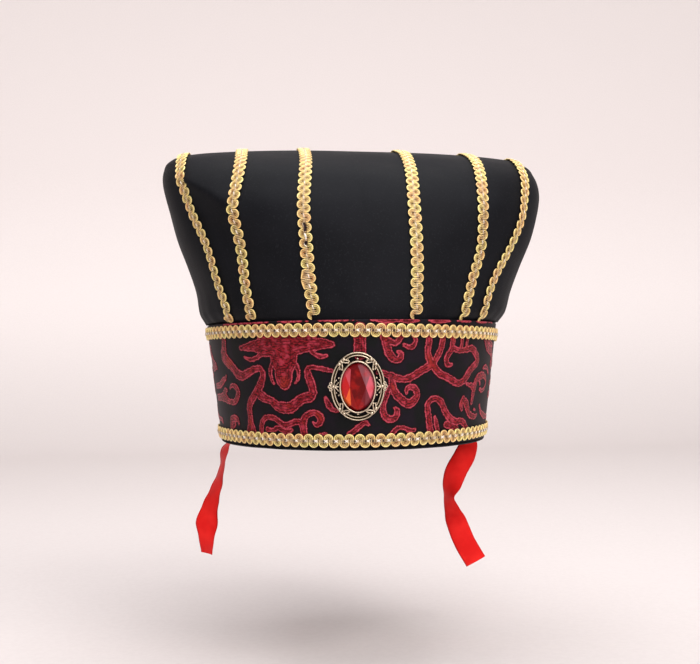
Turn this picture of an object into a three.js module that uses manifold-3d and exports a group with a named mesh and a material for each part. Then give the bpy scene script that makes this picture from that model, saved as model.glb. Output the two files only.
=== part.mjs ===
// A Chinese costume hat: a soft black satin crown, wide and domed at the top, that rises out of
// a flared brocade headband. Scalloped gold braid edges the band and runs in six lines from the
// band's top edge over the crown to the back. An oval red stone in an openwork setting sits on
// the front, and two red ribbons hang from the inside of the rim, one behind each ear.
//
// Millimetres, +Z up. The front faces -Y and the wearer's head comes in from below. The origin is
// the centre of the head opening, in the plane of the rim.
import * as THREE from "three";
import { ConvexGeometry } from "three/addons/geometries/ConvexGeometry.js";
import { mergeVertices } from "three/addons/utils/BufferGeometryUtils.js";
import Module from "manifold-3d";

const wasm = await Module();
wasm.setup();

// Headband: an oval cone, wider at the top. Half sizes are of its outer face at the rim.
const RIM_HALF_WIDTH = 87.4;
const RIM_HALF_DEPTH = 99.5;
const BAND_FLARE = 0.121;
const BAND_FOOT = 1.5;
const BAND_HEIGHT = 76;
const BAND_WALL = 1.8;
const OVAL_SEGMENTS = 44;

// Rim binding: a satin edge turned up inside the band.
const BINDING_HEIGHT = 10;
const BINDING_WALL = 1.0;
const BINDING_EDGE = 1.2;

const PIECE_GAP = 0.3;

// Crown: one satin wall, its edge tucked inside the band.
const CROWN_WALL = 1.3;
const CROWN_TUCK = 10;
const TUCK_OFFSET = BAND_WALL + PIECE_GAP;
const CROWN_SECTIONS = [
  tuckedSection(BAND_HEIGHT - CROWN_TUCK),
  tuckedSection(BAND_HEIGHT),
  { z: 84, halfWidth: 101.3, halfDepth: 107.4, shift: 0.7, squareness: 2.05 },
  { z: 98, halfWidth: 105.1, halfDepth: 106.0, shift: 1.4, squareness: 2.1 },
  { z: 115, halfWidth: 111.0, halfDepth: 103.0, shift: 1.7, squareness: 2.2 },
  { z: 132, halfWidth: 117.6, halfDepth: 99.5, shift: 2.2, squareness: 2.3 },
  { z: 147, halfWidth: 121.9, halfDepth: 93.5, shift: 2.2, squareness: 2.4 },
  { z: 160, halfWidth: 125.0, halfDepth: 84.0, shift: 1.8, squareness: 2.4 },
  { z: 170, halfWidth: 126.0, halfDepth: 73.5, shift: 1.0, squareness: 2.4 },
  { z: 178, halfWidth: 125.0, halfDepth: 60.5, shift: 0.2, squareness: 2.4 },
  { z: 184.5, halfWidth: 121.3, halfDepth: 46.0, shift: -0.3, squareness: 2.4 },
  { z: 189.5, halfWidth: 108.5, halfDepth: 30.0, shift: -0.2, squareness: 2.3 },
  { z: 193.2, halfWidth: 66.0, halfDepth: 14.0, shift: 0, squareness: 2.2 },
  { z: 194.3, halfWidth: 0, halfDepth: 0, shift: 0, squareness: 2.0 },
];
const LAST_SECTION = CROWN_SECTIONS.length - 1;

// The top sags a little more the further it is from the left side.
const CROWN_SAG = { slope: 0.0125, startX: -110, lowest: 95, full: 180 };

// Soft hollows in the crown. angle is in degrees from the front, section counts rows of the table
// above, spread and reach are the hollow's half sizes in degrees and in rows, and lean tips it.
const CROWN_HOLLOWS = [
  { angle: -46, section: 5.4, spread: 9, reach: 1.5, lean: -5, depth: 2.8 },
  { angle: 46, section: 5.6, spread: 8, reach: 1.4, lean: 5, depth: 1.6 },
  { angle: -134, section: 5.5, spread: 9, reach: 1.4, lean: 5, depth: 2.0 },
  { angle: 134, section: 5.5, spread: 9, reach: 1.4, lean: -5, depth: 2.0 },
  { angle: 6, section: 2.9, spread: 11, reach: 1.1, lean: 0, depth: 1.0 },
];

// Gold braid: a flat woven strip whose two edges are scalloped in turn.
const BRAID_WIDTH = 7.6;
const BRAID_THICKNESS = 1.8;
const BRAID_PITCH = 6.0;
const BRAID_SWAY = 0.55;
// Height of the middle in front, its lift at the two sides, and its lean to the right.
const LOWER_BRAID = { height: 6.1, lift: 1.2, lean: 0.4 };
const UPPER_BRAID = { height: 69.9, lift: -0.4, lean: -1.3 };
const TRIM_GAP = 0.45;
const TRIM_FOOT_HEIGHT = 78.2;
const ROUTE_STEPS = 160;

// Where each crown trim runs: its distance from the middle plane at five heights.
const TRIM_HEIGHTS = { foot: 76, waist: 98, middle: 120, shoulder: 145, top: 180 };
const CROWN_TRIMS = [
  { name: "trim_far_left", foot: -78.5, waist: -85.4, middle: -92.5, shoulder: -103.9, top: -110.3 },
  { name: "trim_left", foot: -65.4, waist: -69.9, middle: -73.8, shoulder: -75.9, top: -72.2 },
  { name: "trim_mid_left", foot: -29.8, waist: -32.6, middle: -34.2, shoulder: -35.3, top: -32.3 },
  { name: "trim_mid_right", foot: 28.5, waist: 29.3, middle: 29.8, shoulder: 29.7, top: 31.5 },
  { name: "trim_right", foot: 59.4, waist: 64, middle: 71.3, shoulder: 73, top: 76.5 },
  { name: "trim_far_right", foot: 73, waist: 79.2, middle: 91.7, shoulder: 103.6, top: 109.1 },
];

// Brooch: its middle on the band, then half sizes of its ovals as [across, up].
const BROOCH_X = -5.7;
const BROOCH_HEIGHT = 37.7;
const FRAME_OVAL = [15.7, 20.0];
const FRAME_RAIL = 2.5;
const FRAME_PLATE = 1.1;
const FRAME_WIRE = { width: 0.9, height: 0.8 };
const BEZEL_OVAL = [10.8, 15.4];
const BEZEL_BASE = 0.8;
const BEZEL_HEIGHT = 4.3;
const BEZEL_WALL = 0.075;
const BEZEL_LIP = 0.14;
const LIP_THICKNESS = 0.4;
const LIP_BEVEL = 0.3;
const BEZEL_SEGMENTS = 28;
const BRIDGE_OVERLAP = 0.2;
const BRIDGE_ANGLES = [0, 50, 130, 180, 230, 310];
const BRIDGE_HALF_ANGLE = 7.5;
const SIDE_BEADS = [
  { out: 0.3, up: 1.9, radius: 1.15 },
  { out: 1.0, up: 0, radius: 1.15 },
  { out: 0.3, up: -1.9, radius: 1.15 },
];
const CORNER_BEADS = [
  { turn: -4.5, radius: 1.0 },
  { turn: 4.5, radius: 1.0 },
];

// Stone: rings of points from the culet to the table, each an oval in parts of the girdle.
const STONE_GIRDLE = [9.6, 13.8];
const STONE_RINGS = [
  { z: 1.1, across: 0.4, up: 0.4, count: 8, turn: 0 },
  { z: 2.6, across: 1, up: 1, count: 16, turn: 0 },
  { z: 2.95, across: 1, up: 1, count: 16, turn: 0 },
  { z: 4.55, across: 0.78, up: 0.86, count: 8, turn: 0.5 },
  { z: 5.5, across: 0.44, up: 0.74, count: 8, turn: 0 },
];

// Ribbons: stations down each one, with the middle of its width and the way the width points,
// in degrees from +X seen from above.
const RIBBON_WIDTH = 15;
const RIBBON_THICKNESS = 1.0;
const RIBBON_LEFT = [
  { z: 9, x: -82.5, y: 16.7, facing: 81 },
  { z: 0, x: -81.6, y: 16.7, facing: 81 },
  { z: -7, x: -85.6, y: 16.9, facing: 76 },
  { z: -19, x: -88.8, y: 17, facing: 78 },
  { z: -31, x: -91.4, y: 17, facing: 64 },
  { z: -42, x: -95.2, y: 17, facing: 50 },
  { z: -53, x: -98.4, y: 17, facing: 24 },
  { z: -61, x: -99.4, y: 17, facing: -16 },
  { z: -69, x: -99.2, y: 17, facing: -46 },
  { z: -78, x: -99.0, y: 17, facing: -57 },
];
const RIBBON_RIGHT = [
  { z: 9, x: 82.5, y: 16.7, facing: 99 },
  { z: 0, x: 81.5, y: 16.7, facing: 101 },
  { z: -6, x: 82.4, y: 16.8, facing: 124 },
  { z: -15, x: 80.0, y: 17, facing: 146 },
  { z: -25, x: 75.4, y: 17, facing: 152 },
  { z: -35, x: 70.8, y: 17, facing: 136 },
  { z: -45, x: 68.7, y: 17, facing: 108 },
  { z: -53, x: 70.3, y: 17, facing: 114 },
  { z: -63, x: 74.2, y: 17, facing: 138 },
  { z: -75, x: 79.4, y: 17, facing: 150 },
  { z: -89, x: 87.2, y: 17, facing: 153 },
];

const satin = new THREE.MeshStandardMaterial({ color: 0x17171a, roughness: 0.5, metalness: 0 });
const brocade = new THREE.MeshStandardMaterial({ color: 0x4a1420, roughness: 0.6, metalness: 0 });
const goldBraid = new THREE.MeshStandardMaterial({ color: 0xd8a850, roughness: 0.4, metalness: 0.5 });
const antiqueGold = new THREE.MeshStandardMaterial({ color: 0xb59a68, roughness: 0.35, metalness: 1 });
const redStone = new THREE.MeshStandardMaterial({ color: 0xa80f12, roughness: 0.08, metalness: 0 });
const redRibbon = new THREE.MeshStandardMaterial({ color: 0xd81b1b, roughness: 0.4, metalness: 0 });

const radians = THREE.MathUtils.degToRad;

// The band's outer face at a height, as half width and half depth, moved out by offset.
function bandOval(z, offset = 0) {
  return {
    halfWidth: RIM_HALF_WIDTH + BAND_FLARE * z + offset,
    halfDepth: RIM_HALF_DEPTH + BAND_FLARE * z + offset,
  };
}

// The crown's section where it lies inside the band.
function tuckedSection(z) {
  return { z, ...bandOval(z, -TUCK_OFFSET), shift: 0, squareness: 2 };
}

// A Catmull-Rom curve through four values.
function curve(a, b, c, d, u) {
  const linear = (c - a) * u;
  const square = (2 * a - 5 * b + 4 * c - d) * u * u;
  const cube = (3 * b - a - 3 * c + d) * u * u * u;
  return b + 0.5 * (linear + square + cube);
}

// A table's row, run on past either end. Past the top the oval opens again on the other side.
function sectionRow(i) {
  if (i < 0) return CROWN_SECTIONS[0];
  if (i <= LAST_SECTION) return CROWN_SECTIONS[i];
  const row = CROWN_SECTIONS[2 * LAST_SECTION - i];
  return { ...row, halfWidth: -row.halfWidth, halfDepth: -row.halfDepth };
}

// The crown's section at a fractional row of the table.
function sectionAt(s) {
  const i = Math.min(Math.floor(s), LAST_SECTION - 1);
  const rows = [-1, 0, 1, 2].map((step) => sectionRow(i + step));
  const at = (key) => curve(...rows.map((row) => row[key]), s - i);
  return {
    z: at("z"),
    halfWidth: at("halfWidth"),
    halfDepth: at("halfDepth"),
    shift: at("shift"),
    squareness: at("squareness"),
  };
}

// How far the soft hollows press the crown in at an angle and a row.
function hollowDepth(angle, s) {
  return CROWN_HOLLOWS.reduce((sum, hollow) => {
    const rows = s - hollow.section;
    const turn = THREE.MathUtils.radToDeg(angle) - hollow.angle - hollow.lean * rows;
    const wrapped = THREE.MathUtils.euclideanModulo(turn + 180, 360) - 180;
    const far = (wrapped / hollow.spread) ** 2 + (rows / hollow.reach) ** 2;
    return sum + hollow.depth * Math.exp(-far);
  }, 0);
}

// A point of the crown's smooth outer form. The section is a rounded oval,
// |(x - shift) / halfWidth| ^ n + |y / halfDepth| ^ n = 1, with n the squareness.
function crownForm(angle, s) {
  const { z, halfWidth, halfDepth, shift, squareness: n } = sectionAt(s);
  const across = Math.sin(angle);
  const ahead = Math.cos(angle);
  const reach = (Math.abs(across) ** n + Math.abs(ahead) ** n) ** (1 / n);
  const x = shift + (halfWidth * across) / reach;
  const share = THREE.MathUtils.smoothstep(z, CROWN_SAG.lowest, CROWN_SAG.full);
  const sag = share * CROWN_SAG.slope * (x - CROWN_SAG.startX);
  return new THREE.Vector3(x, (-halfDepth * ahead) / reach, z - sag);
}

// The crown's outward normal, from two short steps over its form.
function crownNormal(angle, s) {
  const step = 1e-3;
  const row = Math.min(s, LAST_SECTION - 2 * step);
  const round = crownForm(angle + step, row).sub(crownForm(angle - step, row));
  const up = crownForm(angle, row + step).sub(crownForm(angle, row - step));
  return round.cross(up).normalize();
}

// A point of the crown's outer face with its hollows, moved out by offset.
function crownPoint(angle, s, offset = 0) {
  const out = offset - hollowDepth(angle, s);
  return crownForm(angle, s).addScaledVector(crownNormal(angle, s), out);
}

function geometryOf(points, faces) {
  const geometry = new THREE.BufferGeometry().setFromPoints(points);
  geometry.setIndex(faces.flat());
  geometry.computeVertexNormals();
  return geometry;
}

// Two triangles for each cell of a grid of points, whose columns close round.
function gridFaces(start, rows, columns) {
  const faces = [];
  for (let r = 0; r < rows - 1; r++) {
    for (let c = 0; c < columns; c++) {
      const next = (c + 1) % columns;
      const a = start + r * columns + c;
      const b = start + r * columns + next;
      faces.push([a, b, b + columns], [a, b + columns, a + columns]);
    }
  }
  return faces;
}

// The crown's wall: an outer and an inner skin, joined along the tucked edge.
function crownGeometry() {
  const points = [];
  const skins = [0, -CROWN_WALL].map((offset) => {
    const start = points.length;
    for (let s = 0; s < LAST_SECTION; s++) {
      for (let c = 0; c < OVAL_SEGMENTS; c++) {
        points.push(crownPoint((2 * Math.PI * c) / OVAL_SEGMENTS, s, offset));
      }
    }
    points.push(crownForm(0, LAST_SECTION).add(new THREE.Vector3(0, 0, offset)));
    return start;
  });
  const [outer, inner] = skins;
  const flip = ([a, b, c]) => [a, c, b];
  const skinFaces = (start) => {
    const faces = gridFaces(start, LAST_SECTION, OVAL_SEGMENTS);
    const ring = start + (LAST_SECTION - 1) * OVAL_SEGMENTS;
    const pole = ring + OVAL_SEGMENTS;
    for (let c = 0; c < OVAL_SEGMENTS; c++) {
      faces.push([ring + c, ring + ((c + 1) % OVAL_SEGMENTS), pole]);
    }
    return faces;
  };
  const edge = [];
  for (let c = 0; c < OVAL_SEGMENTS; c++) {
    const next = (c + 1) % OVAL_SEGMENTS;
    edge.push([inner + c, inner + next, outer + next], [inner + c, outer + next, outer + c]);
  }
  return geometryOf(points, [...skinFaces(outer), ...skinFaces(inner).map(flip), ...edge]);
}

// A ring that follows the band: the profile gives [offset from the band's outer face, height].
function bandRing(profile) {
  const closed = [...profile, profile[0]].map(([offset, z]) => {
    return new THREE.Vector2(bandOval(z, offset).halfWidth, z);
  });
  const geometry = new THREE.LatheGeometry(closed, OVAL_SEGMENTS).rotateX(Math.PI / 2);
  const place = geometry.getAttribute("position");
  const deeper = RIM_HALF_DEPTH - RIM_HALF_WIDTH;
  for (let i = 0; i < place.count; i++) {
    const radius = Math.hypot(place.getX(i), place.getY(i));
    place.setY(i, place.getY(i) * (1 + deeper / radius));
  }
  return geometry;
}

// A braid along stations of { centre, out, along }: three corners a station, the two woven edges
// and the crest between them. Every half pitch it sways to the other side.
function braidGeometry(stations, gap, closed) {
  const points = stations.flatMap(({ centre, out, along }, i) => {
    const across = out.clone().cross(along).normalize();
    const sway = i % 2 ? BRAID_SWAY : -BRAID_SWAY;
    const corner = (side, rise) => {
      return centre.clone().addScaledVector(across, side).addScaledVector(out, gap + rise);
    };
    return [
      corner(sway + BRAID_WIDTH / 2, 0),
      corner(sway, BRAID_THICKNESS),
      corner(sway - BRAID_WIDTH / 2, 0),
    ];
  });
  const faces = gridFaces(0, stations.length, 3);
  if (closed) {
    const last = 3 * (stations.length - 1);
    for (let c = 0; c < 3; c++) {
      const next = (c + 1) % 3;
      faces.push([last + c, last + next, next], [last + c, next, c]);
    }
  } else {
    const last = 3 * (stations.length - 1);
    faces.push([0, 2, 1], [last, last + 1, last + 2]);
  }
  return geometryOf(points, faces);
}

// Points spread evenly along a line, a whole number of half pitches apart.
function evenPoints(points, closed) {
  const line = new THREE.CurvePath();
  const ends = closed ? [...points, points[0]] : points;
  for (let i = 1; i < ends.length; i++) line.add(new THREE.LineCurve3(ends[i - 1], ends[i]));
  const steps = 2 * Math.round(line.getLength() / BRAID_PITCH);
  const spread = [];
  for (let i = 0; i < (closed ? steps : steps + 1); i++) spread.push(line.getPointAt(i / steps));
  return spread;
}

// The direction of travel at each point of a line.
function directions(points, closed) {
  const n = points.length;
  return points.map((_, i) => {
    const before = closed ? points[(i + n - 1) % n] : points[Math.max(i - 1, 0)];
    const after = closed ? points[(i + 1) % n] : points[Math.min(i + 1, n - 1)];
    return after.clone().sub(before).normalize();
  });
}

// A braid round the band, whose middle rises or falls a little on the way round.
function bandBraid({ height, lift, lean }) {
  const { halfWidth, halfDepth } = bandOval(height);
  const fine = 8 * OVAL_SEGMENTS;
  const oval = [];
  for (let i = 0; i < fine; i++) {
    const angle = (2 * Math.PI * i) / fine;
    const z = height + lift * Math.sin(angle) ** 2 + lean * Math.sin(angle);
    const at = bandOval(z);
    oval.push(new THREE.Vector3(at.halfWidth * Math.sin(angle), -at.halfDepth * Math.cos(angle), z));
  }
  const points = evenPoints(oval, true);
  const along = directions(points, true);
  const stations = points.map((centre, i) => {
    const level = new THREE.Vector3(centre.x / halfWidth ** 2, centre.y / halfDepth ** 2, 0);
    const out = level.normalize().setZ(-BAND_FLARE).normalize();
    return { centre, out, along: along[i] };
  });
  return braidGeometry(stations, PIECE_GAP, true);
}

// How far a trim lies from the middle plane at a height.
function trimReach(trim, z) {
  const keys = Object.keys(TRIM_HEIGHTS);
  const heights = Object.values(TRIM_HEIGHTS);
  const i = heights.findIndex((height) => z < height);
  if (i < 0) return trim.top;
  const at = (k) => trim[keys[THREE.MathUtils.clamp(k, 0, keys.length - 1)]];
  const first = Math.max(i - 1, 0);
  const u = THREE.MathUtils.clamp((z - heights[first]) / (heights[i] - heights[first] || 1), 0, 1);
  return curve(at(first - 1), at(first), at(first + 1), at(first + 2), u);
}

// The row up to which a test of the section holds, found by halving.
function rowWhere(low, high, test) {
  for (let i = 0; i < 40; i++) {
    const middle = (low + high) / 2;
    if (test(sectionAt(middle))) low = middle;
    else high = middle;
  }
  return low;
}

// A trim: up the front from the band, over the top, and down the back.
function crownTrim(trim) {
  const foot = rowWhere(1, 3, ({ z }) => z < TRIM_FOOT_HEIGHT);
  const top = rowWhere(8, LAST_SECTION, ({ halfWidth, shift }) => {
    return halfWidth > Math.abs(trim.top - shift);
  });
  const front = [];
  for (let i = 0; i <= ROUTE_STEPS; i++) {
    const s = foot + (top - foot) * Math.sin((i / ROUTE_STEPS) * (Math.PI / 2));
    const { z, halfWidth, shift, squareness: n } = sectionAt(s);
    const reach = trimReach(trim, z) - shift;
    const share = Math.min(Math.abs(reach) / halfWidth, 1);
    const angle = Math.sign(reach) * Math.atan2(share, (1 - share ** n) ** (1 / n));
    front.push({ angle, s });
  }
  const back = front.slice(0, -1).reverse().map(({ angle, s }) => {
    return { angle: Math.sign(angle) * Math.PI - angle, s };
  });
  const route = [...front, ...back].map(({ angle, s }) => crownPoint(angle, s));
  const normals = [...front, ...back].map(({ angle, s }) => crownNormal(angle, s));
  const points = evenPoints(route, false);
  const along = directions(points, false);
  const stations = points.map((centre, i) => {
    const distances = route.map((point) => point.distanceToSquared(centre));
    const nearest = distances.indexOf(Math.min(...distances));
    return { centre, out: normals[nearest], along: along[i] };
  });
  return braidGeometry(stations, TRIM_GAP, false);
}

// A closed mesh as a solid that can be joined to others.
function solidOf(geometry) {
  const bare = geometry.clone().deleteAttribute("normal").deleteAttribute("uv");
  const merged = mergeVertices(bare, 1e-4);
  const vertProperties = new Float32Array(merged.getAttribute("position").array);
  const triVerts = new Uint32Array(merged.index.array);
  return new wasm.Manifold(new wasm.Mesh({ numProp: 3, vertProperties, triVerts }));
}

function geometryFrom(solid) {
  const { vertProperties, triVerts } = solid.getMesh();
  const geometry = new THREE.BufferGeometry();
  geometry.setAttribute("position", new THREE.BufferAttribute(vertProperties, 3));
  geometry.setIndex(new THREE.BufferAttribute(triVerts, 1));
  geometry.computeVertexNormals();
  return geometry;
}

// An oval outline of four quarter arcs.
function ovalPath(path, [across, up]) {
  for (let quarter = 0; quarter < 4; quarter++) {
    const start = (quarter * Math.PI) / 2;
    path.absellipse(0, 0, across, up, start, start + Math.PI / 2);
  }
  return path;
}

// The brooch's pierced plate: an oval rail tied to the bezel by six bridges.
function openworkPlate() {
  const inside = FRAME_OVAL.map((half) => half - FRAME_RAIL);
  const plate = ovalPath(new THREE.Shape(), FRAME_OVAL);
  const seat = BEZEL_OVAL.map((half) => half * (1 - 2 * BEZEL_WALL));
  plate.holes.push(ovalPath(new THREE.Path(), seat));
  const [railX, railY] = inside;
  const [bezelX, bezelY] = BEZEL_OVAL.map((half) => half - BRIDGE_OVERLAP);
  BRIDGE_ANGLES.forEach((bridge, i) => {
    const next = BRIDGE_ANGLES[i + 1] ?? BRIDGE_ANGLES[0] + 360;
    const start = radians(bridge + BRIDGE_HALF_ANGLE);
    const end = radians(next - BRIDGE_HALF_ANGLE);
    const opening = new THREE.Path();
    opening.absellipse(0, 0, railX, railY, start, end, false);
    opening.absellipse(0, 0, bezelX, bezelY, end, start, true);
    opening.closePath();
    plate.holes.push(opening);
  });
  return extrude(plate, FRAME_PLATE);
}

function extrude(shape, depth) {
  return new THREE.ExtrudeGeometry(shape, { depth, bevelEnabled: false, curveSegments: 4 });
}

// A raised wire along the rail's outer edge.
function frameWire() {
  const wire = ovalPath(new THREE.Shape(), FRAME_OVAL);
  wire.holes.push(ovalPath(new THREE.Path(), FRAME_OVAL.map((half) => half - FRAME_WIRE.width)));
  return extrude(wire, FRAME_PLATE + FRAME_WIRE.height);
}

// The cup that holds the stone: a floor, a wall and a lip turned in over the girdle. Its radius
// is 1 at the outside, and it is then stretched to the bezel's oval.
function bezelCup() {
  const wall = 1 - BEZEL_WALL;
  const lip = 1 - BEZEL_LIP;
  const profile = [
    [0, 0],
    [1, 0],
    [1, BEZEL_HEIGHT - LIP_BEVEL],
    [wall, BEZEL_HEIGHT],
    [lip, BEZEL_HEIGHT],
    [lip, BEZEL_HEIGHT - LIP_THICKNESS],
    [wall, BEZEL_HEIGHT - LIP_THICKNESS - LIP_BEVEL],
    [wall, BEZEL_BASE],
    [0, BEZEL_BASE],
  ].map(([radius, height]) => new THREE.Vector2(radius, height));
  const [across, up] = BEZEL_OVAL;
  const cup = new THREE.LatheGeometry(profile, BEZEL_SEGMENTS);
  return cup.rotateX(Math.PI / 2).scale(across, up, 1);
}

// Small beads on the rail, three at each side and two at each corner bridge.
function frameBeads() {
  const middle = FRAME_OVAL.map((half) => half - FRAME_RAIL / 2);
  const bead = (x, y, radius) => {
    return new THREE.IcosahedronGeometry(radius, 0).translate(x, y, FRAME_PLATE);
  };
  return BRIDGE_ANGLES.flatMap((bridge) => {
    if (bridge % 180 === 0) {
      const side = Math.cos(radians(bridge));
      return SIDE_BEADS.map(({ out, up, radius }) => bead(side * (FRAME_OVAL[0] + out), up, radius));
    }
    return CORNER_BEADS.map(({ turn, radius }) => {
      const angle = radians(bridge + turn);
      return bead(middle[0] * Math.cos(angle), middle[1] * Math.sin(angle), radius);
    });
  });
}

function broochSetting() {
  const pieces = [openworkPlate(), frameWire(), bezelCup(), ...frameBeads()];
  return geometryFrom(pieces.map(solidOf).reduce((joined, piece) => joined.add(piece)));
}

// The stone: the convex body through its rings of points.
function broochStone() {
  const points = STONE_RINGS.flatMap(({ z, across, up, count, turn }) => {
    return Array.from({ length: count }, (_, i) => {
      const angle = (2 * Math.PI * (i + turn)) / count;
      const x = STONE_GIRDLE[0] * across * Math.sin(angle);
      const y = STONE_GIRDLE[1] * up * Math.cos(angle);
      return new THREE.Vector3(x, y, z);
    });
  });
  return new ConvexGeometry(points);
}

// The brooch's own frame: across, up the band's slope and out, standing just off the band.
function broochFrame() {
  const { halfWidth, halfDepth } = bandOval(BROOCH_HEIGHT);
  const angle = Math.asin(BROOCH_X / halfWidth);
  const across = new THREE.Vector3(halfWidth * Math.cos(angle), halfDepth * Math.sin(angle), 0);
  const level = new THREE.Vector3(across.y, -across.x, 0).normalize();
  across.normalize();
  const out = level.clone().setZ(-BAND_FLARE).normalize();
  const up = out.clone().cross(across);
  const group = new THREE.Group();
  group.setRotationFromMatrix(new THREE.Matrix4().makeBasis(across, up, out));
  group.position.set(BROOCH_X, -halfDepth * Math.cos(angle), BROOCH_HEIGHT);
  group.position.addScaledVector(out, PIECE_GAP);
  return group;
}

// The stations with one more between each two, on a smooth curve through them.
function withMidStations(stations) {
  const keys = Object.keys(stations[0]);
  const row = (i) => stations[THREE.MathUtils.clamp(i, 0, stations.length - 1)];
  return stations.slice(0, -1).flatMap((station, i) => {
    const middle = keys.map((key) => {
      return [key, curve(row(i - 1)[key], row(i)[key], row(i + 1)[key], row(i + 2)[key], 0.5)];
    });
    return [station, Object.fromEntries(middle)];
  }).concat(stations.at(-1));
}

// A ribbon: a thin rectangle carried down its stations, kept square to the way it runs. Its two
// wide faces are split along the same diagonals, so they never meet where the ribbon twists.
function ribbonGeometry(named) {
  const stations = withMidStations(named);
  const centres = stations.map(({ x, y, z }) => new THREE.Vector3(x, y, z));
  const along = directions(centres, false);
  const points = stations.flatMap(({ facing }, i) => {
    const turn = radians(facing);
    const width = new THREE.Vector3(Math.cos(turn), Math.sin(turn), 0);
    width.addScaledVector(along[i], -width.dot(along[i])).normalize();
    const thick = width.clone().cross(along[i]).multiplyScalar(RIBBON_THICKNESS / 2);
    width.multiplyScalar(RIBBON_WIDTH / 2);
    return [
      centres[i].clone().add(width).add(thick),
      centres[i].clone().add(width).sub(thick),
      centres[i].clone().sub(width).sub(thick),
      centres[i].clone().sub(width).add(thick),
    ];
  });
  const last = 4 * (stations.length - 1);
  const ends = [
    [0, 3, 2],
    [0, 2, 1],
    [last, last + 1, last + 2],
    [last, last + 2, last + 3],
  ];
  const sides = gridFaces(0, stations.length, 4);
  for (let i = 6; i < sides.length; i += 8) {
    const [a, b, c] = sides[i];
    const d = sides[i + 1][2];
    sides[i] = [a, b, d];
    sides[i + 1] = [b, c, d];
  }
  return geometryOf(points, [...sides, ...ends]);
}

function mesh(name, geometry, material) {
  const made = new THREE.Mesh(geometry, material);
  made.name = name;
  return made;
}

const bandProfile = [
  [0, BAND_FOOT],
  [0, BAND_HEIGHT],
  [-BAND_WALL, BAND_HEIGHT],
  [-BAND_WALL, BAND_FOOT],
];
const bindingInside = -BAND_WALL - PIECE_GAP;
const bindingProfile = [
  [0, 0],
  [0, BINDING_EDGE],
  [bindingInside, BINDING_EDGE],
  [bindingInside, BINDING_HEIGHT],
  [bindingInside - BINDING_WALL, BINDING_HEIGHT],
  [bindingInside - BINDING_WALL, 0],
];

const hat = new THREE.Group();
hat.add(mesh("crown", crownGeometry(), satin));
hat.add(mesh("brocade_band", bandRing(bandProfile), brocade));
hat.add(mesh("rim_binding", bandRing(bindingProfile), satin));
hat.add(mesh("lower_braid", bandBraid(LOWER_BRAID), goldBraid));
hat.add(mesh("upper_braid", bandBraid(UPPER_BRAID), goldBraid));
CROWN_TRIMS.forEach((trim) => hat.add(mesh(trim.name, crownTrim(trim), goldBraid)));

const brooch = broochFrame();
brooch.add(mesh("brooch_setting", broochSetting(), antiqueGold));
brooch.add(mesh("brooch_stone", broochStone(), redStone));
hat.add(brooch);

hat.add(mesh("ribbon_left", ribbonGeometry(RIBBON_LEFT), redRibbon));
hat.add(mesh("ribbon_right", ribbonGeometry(RIBBON_RIGHT), redRibbon));

export default hat;
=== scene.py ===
# %% [markdown]
# # A costume hat of black satin, brocade and gold braid
# The hat has a soft satin crown, flared at the sides and domed on top, that rises out of a stiff
# brocade headband. Scalloped gold braid edges the band and climbs the crown in six lines. An oval
# brooch with a red stone sits on the front, and two red ribbons hang inside the rim.
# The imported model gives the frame: every piece below is made in its place, in the same axes.
# Shapes are worked out in millimetres, because a hatter measures in them, and become metres only
# when a mesh is made.

# %% Load the frame
import math

import bmesh
import bpy
import numpy as np
from mathutils import Matrix, Vector


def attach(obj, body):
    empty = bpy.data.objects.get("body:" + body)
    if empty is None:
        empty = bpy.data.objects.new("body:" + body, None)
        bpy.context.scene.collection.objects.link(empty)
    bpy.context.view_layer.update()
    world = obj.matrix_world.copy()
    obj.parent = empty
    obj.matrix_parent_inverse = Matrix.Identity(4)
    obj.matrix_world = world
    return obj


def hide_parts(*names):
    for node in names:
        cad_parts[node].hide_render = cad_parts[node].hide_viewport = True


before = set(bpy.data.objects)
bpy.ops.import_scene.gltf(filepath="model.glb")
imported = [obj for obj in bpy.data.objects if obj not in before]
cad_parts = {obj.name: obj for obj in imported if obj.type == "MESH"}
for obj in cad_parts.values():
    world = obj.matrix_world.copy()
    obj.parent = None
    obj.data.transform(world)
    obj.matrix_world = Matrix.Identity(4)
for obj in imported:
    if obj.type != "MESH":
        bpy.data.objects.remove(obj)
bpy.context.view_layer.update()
MM = 0.001
rng = np.random.default_rng(7)
print("nodes:", ", ".join(sorted(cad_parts)))

# %% [markdown]
# ## Helpers for meshes
# A cloth wall, a cord or a wire is a grid of points that closes round in one or both directions.
# One helper names the four corners of each cell of a grid, and another puts points and faces into
# a mesh. Whole arrays go in at once, which is far quicker than adding vertices one at a time.


# %% Grids and meshes
TINY = 1e-9


def grid_faces(rows, columns, start=0, wrap_rows=False, wrap_columns=True):
    """Cell (r, c) has the corners (r, c), (r, c+1), (r+1, c+1) and (r+1, c), counted row by row."""
    r = np.arange(rows if wrap_rows else rows - 1)[:, None]
    c = np.arange(columns if wrap_columns else columns - 1)[None, :]
    below = start + (r % rows) * columns
    above = start + ((r + 1) % rows) * columns
    right = (c + 1) % columns
    corners = np.broadcast_arrays(below + c, below + right, above + right, above + c)
    return np.stack(corners, -1).reshape(-1, 4)


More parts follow.
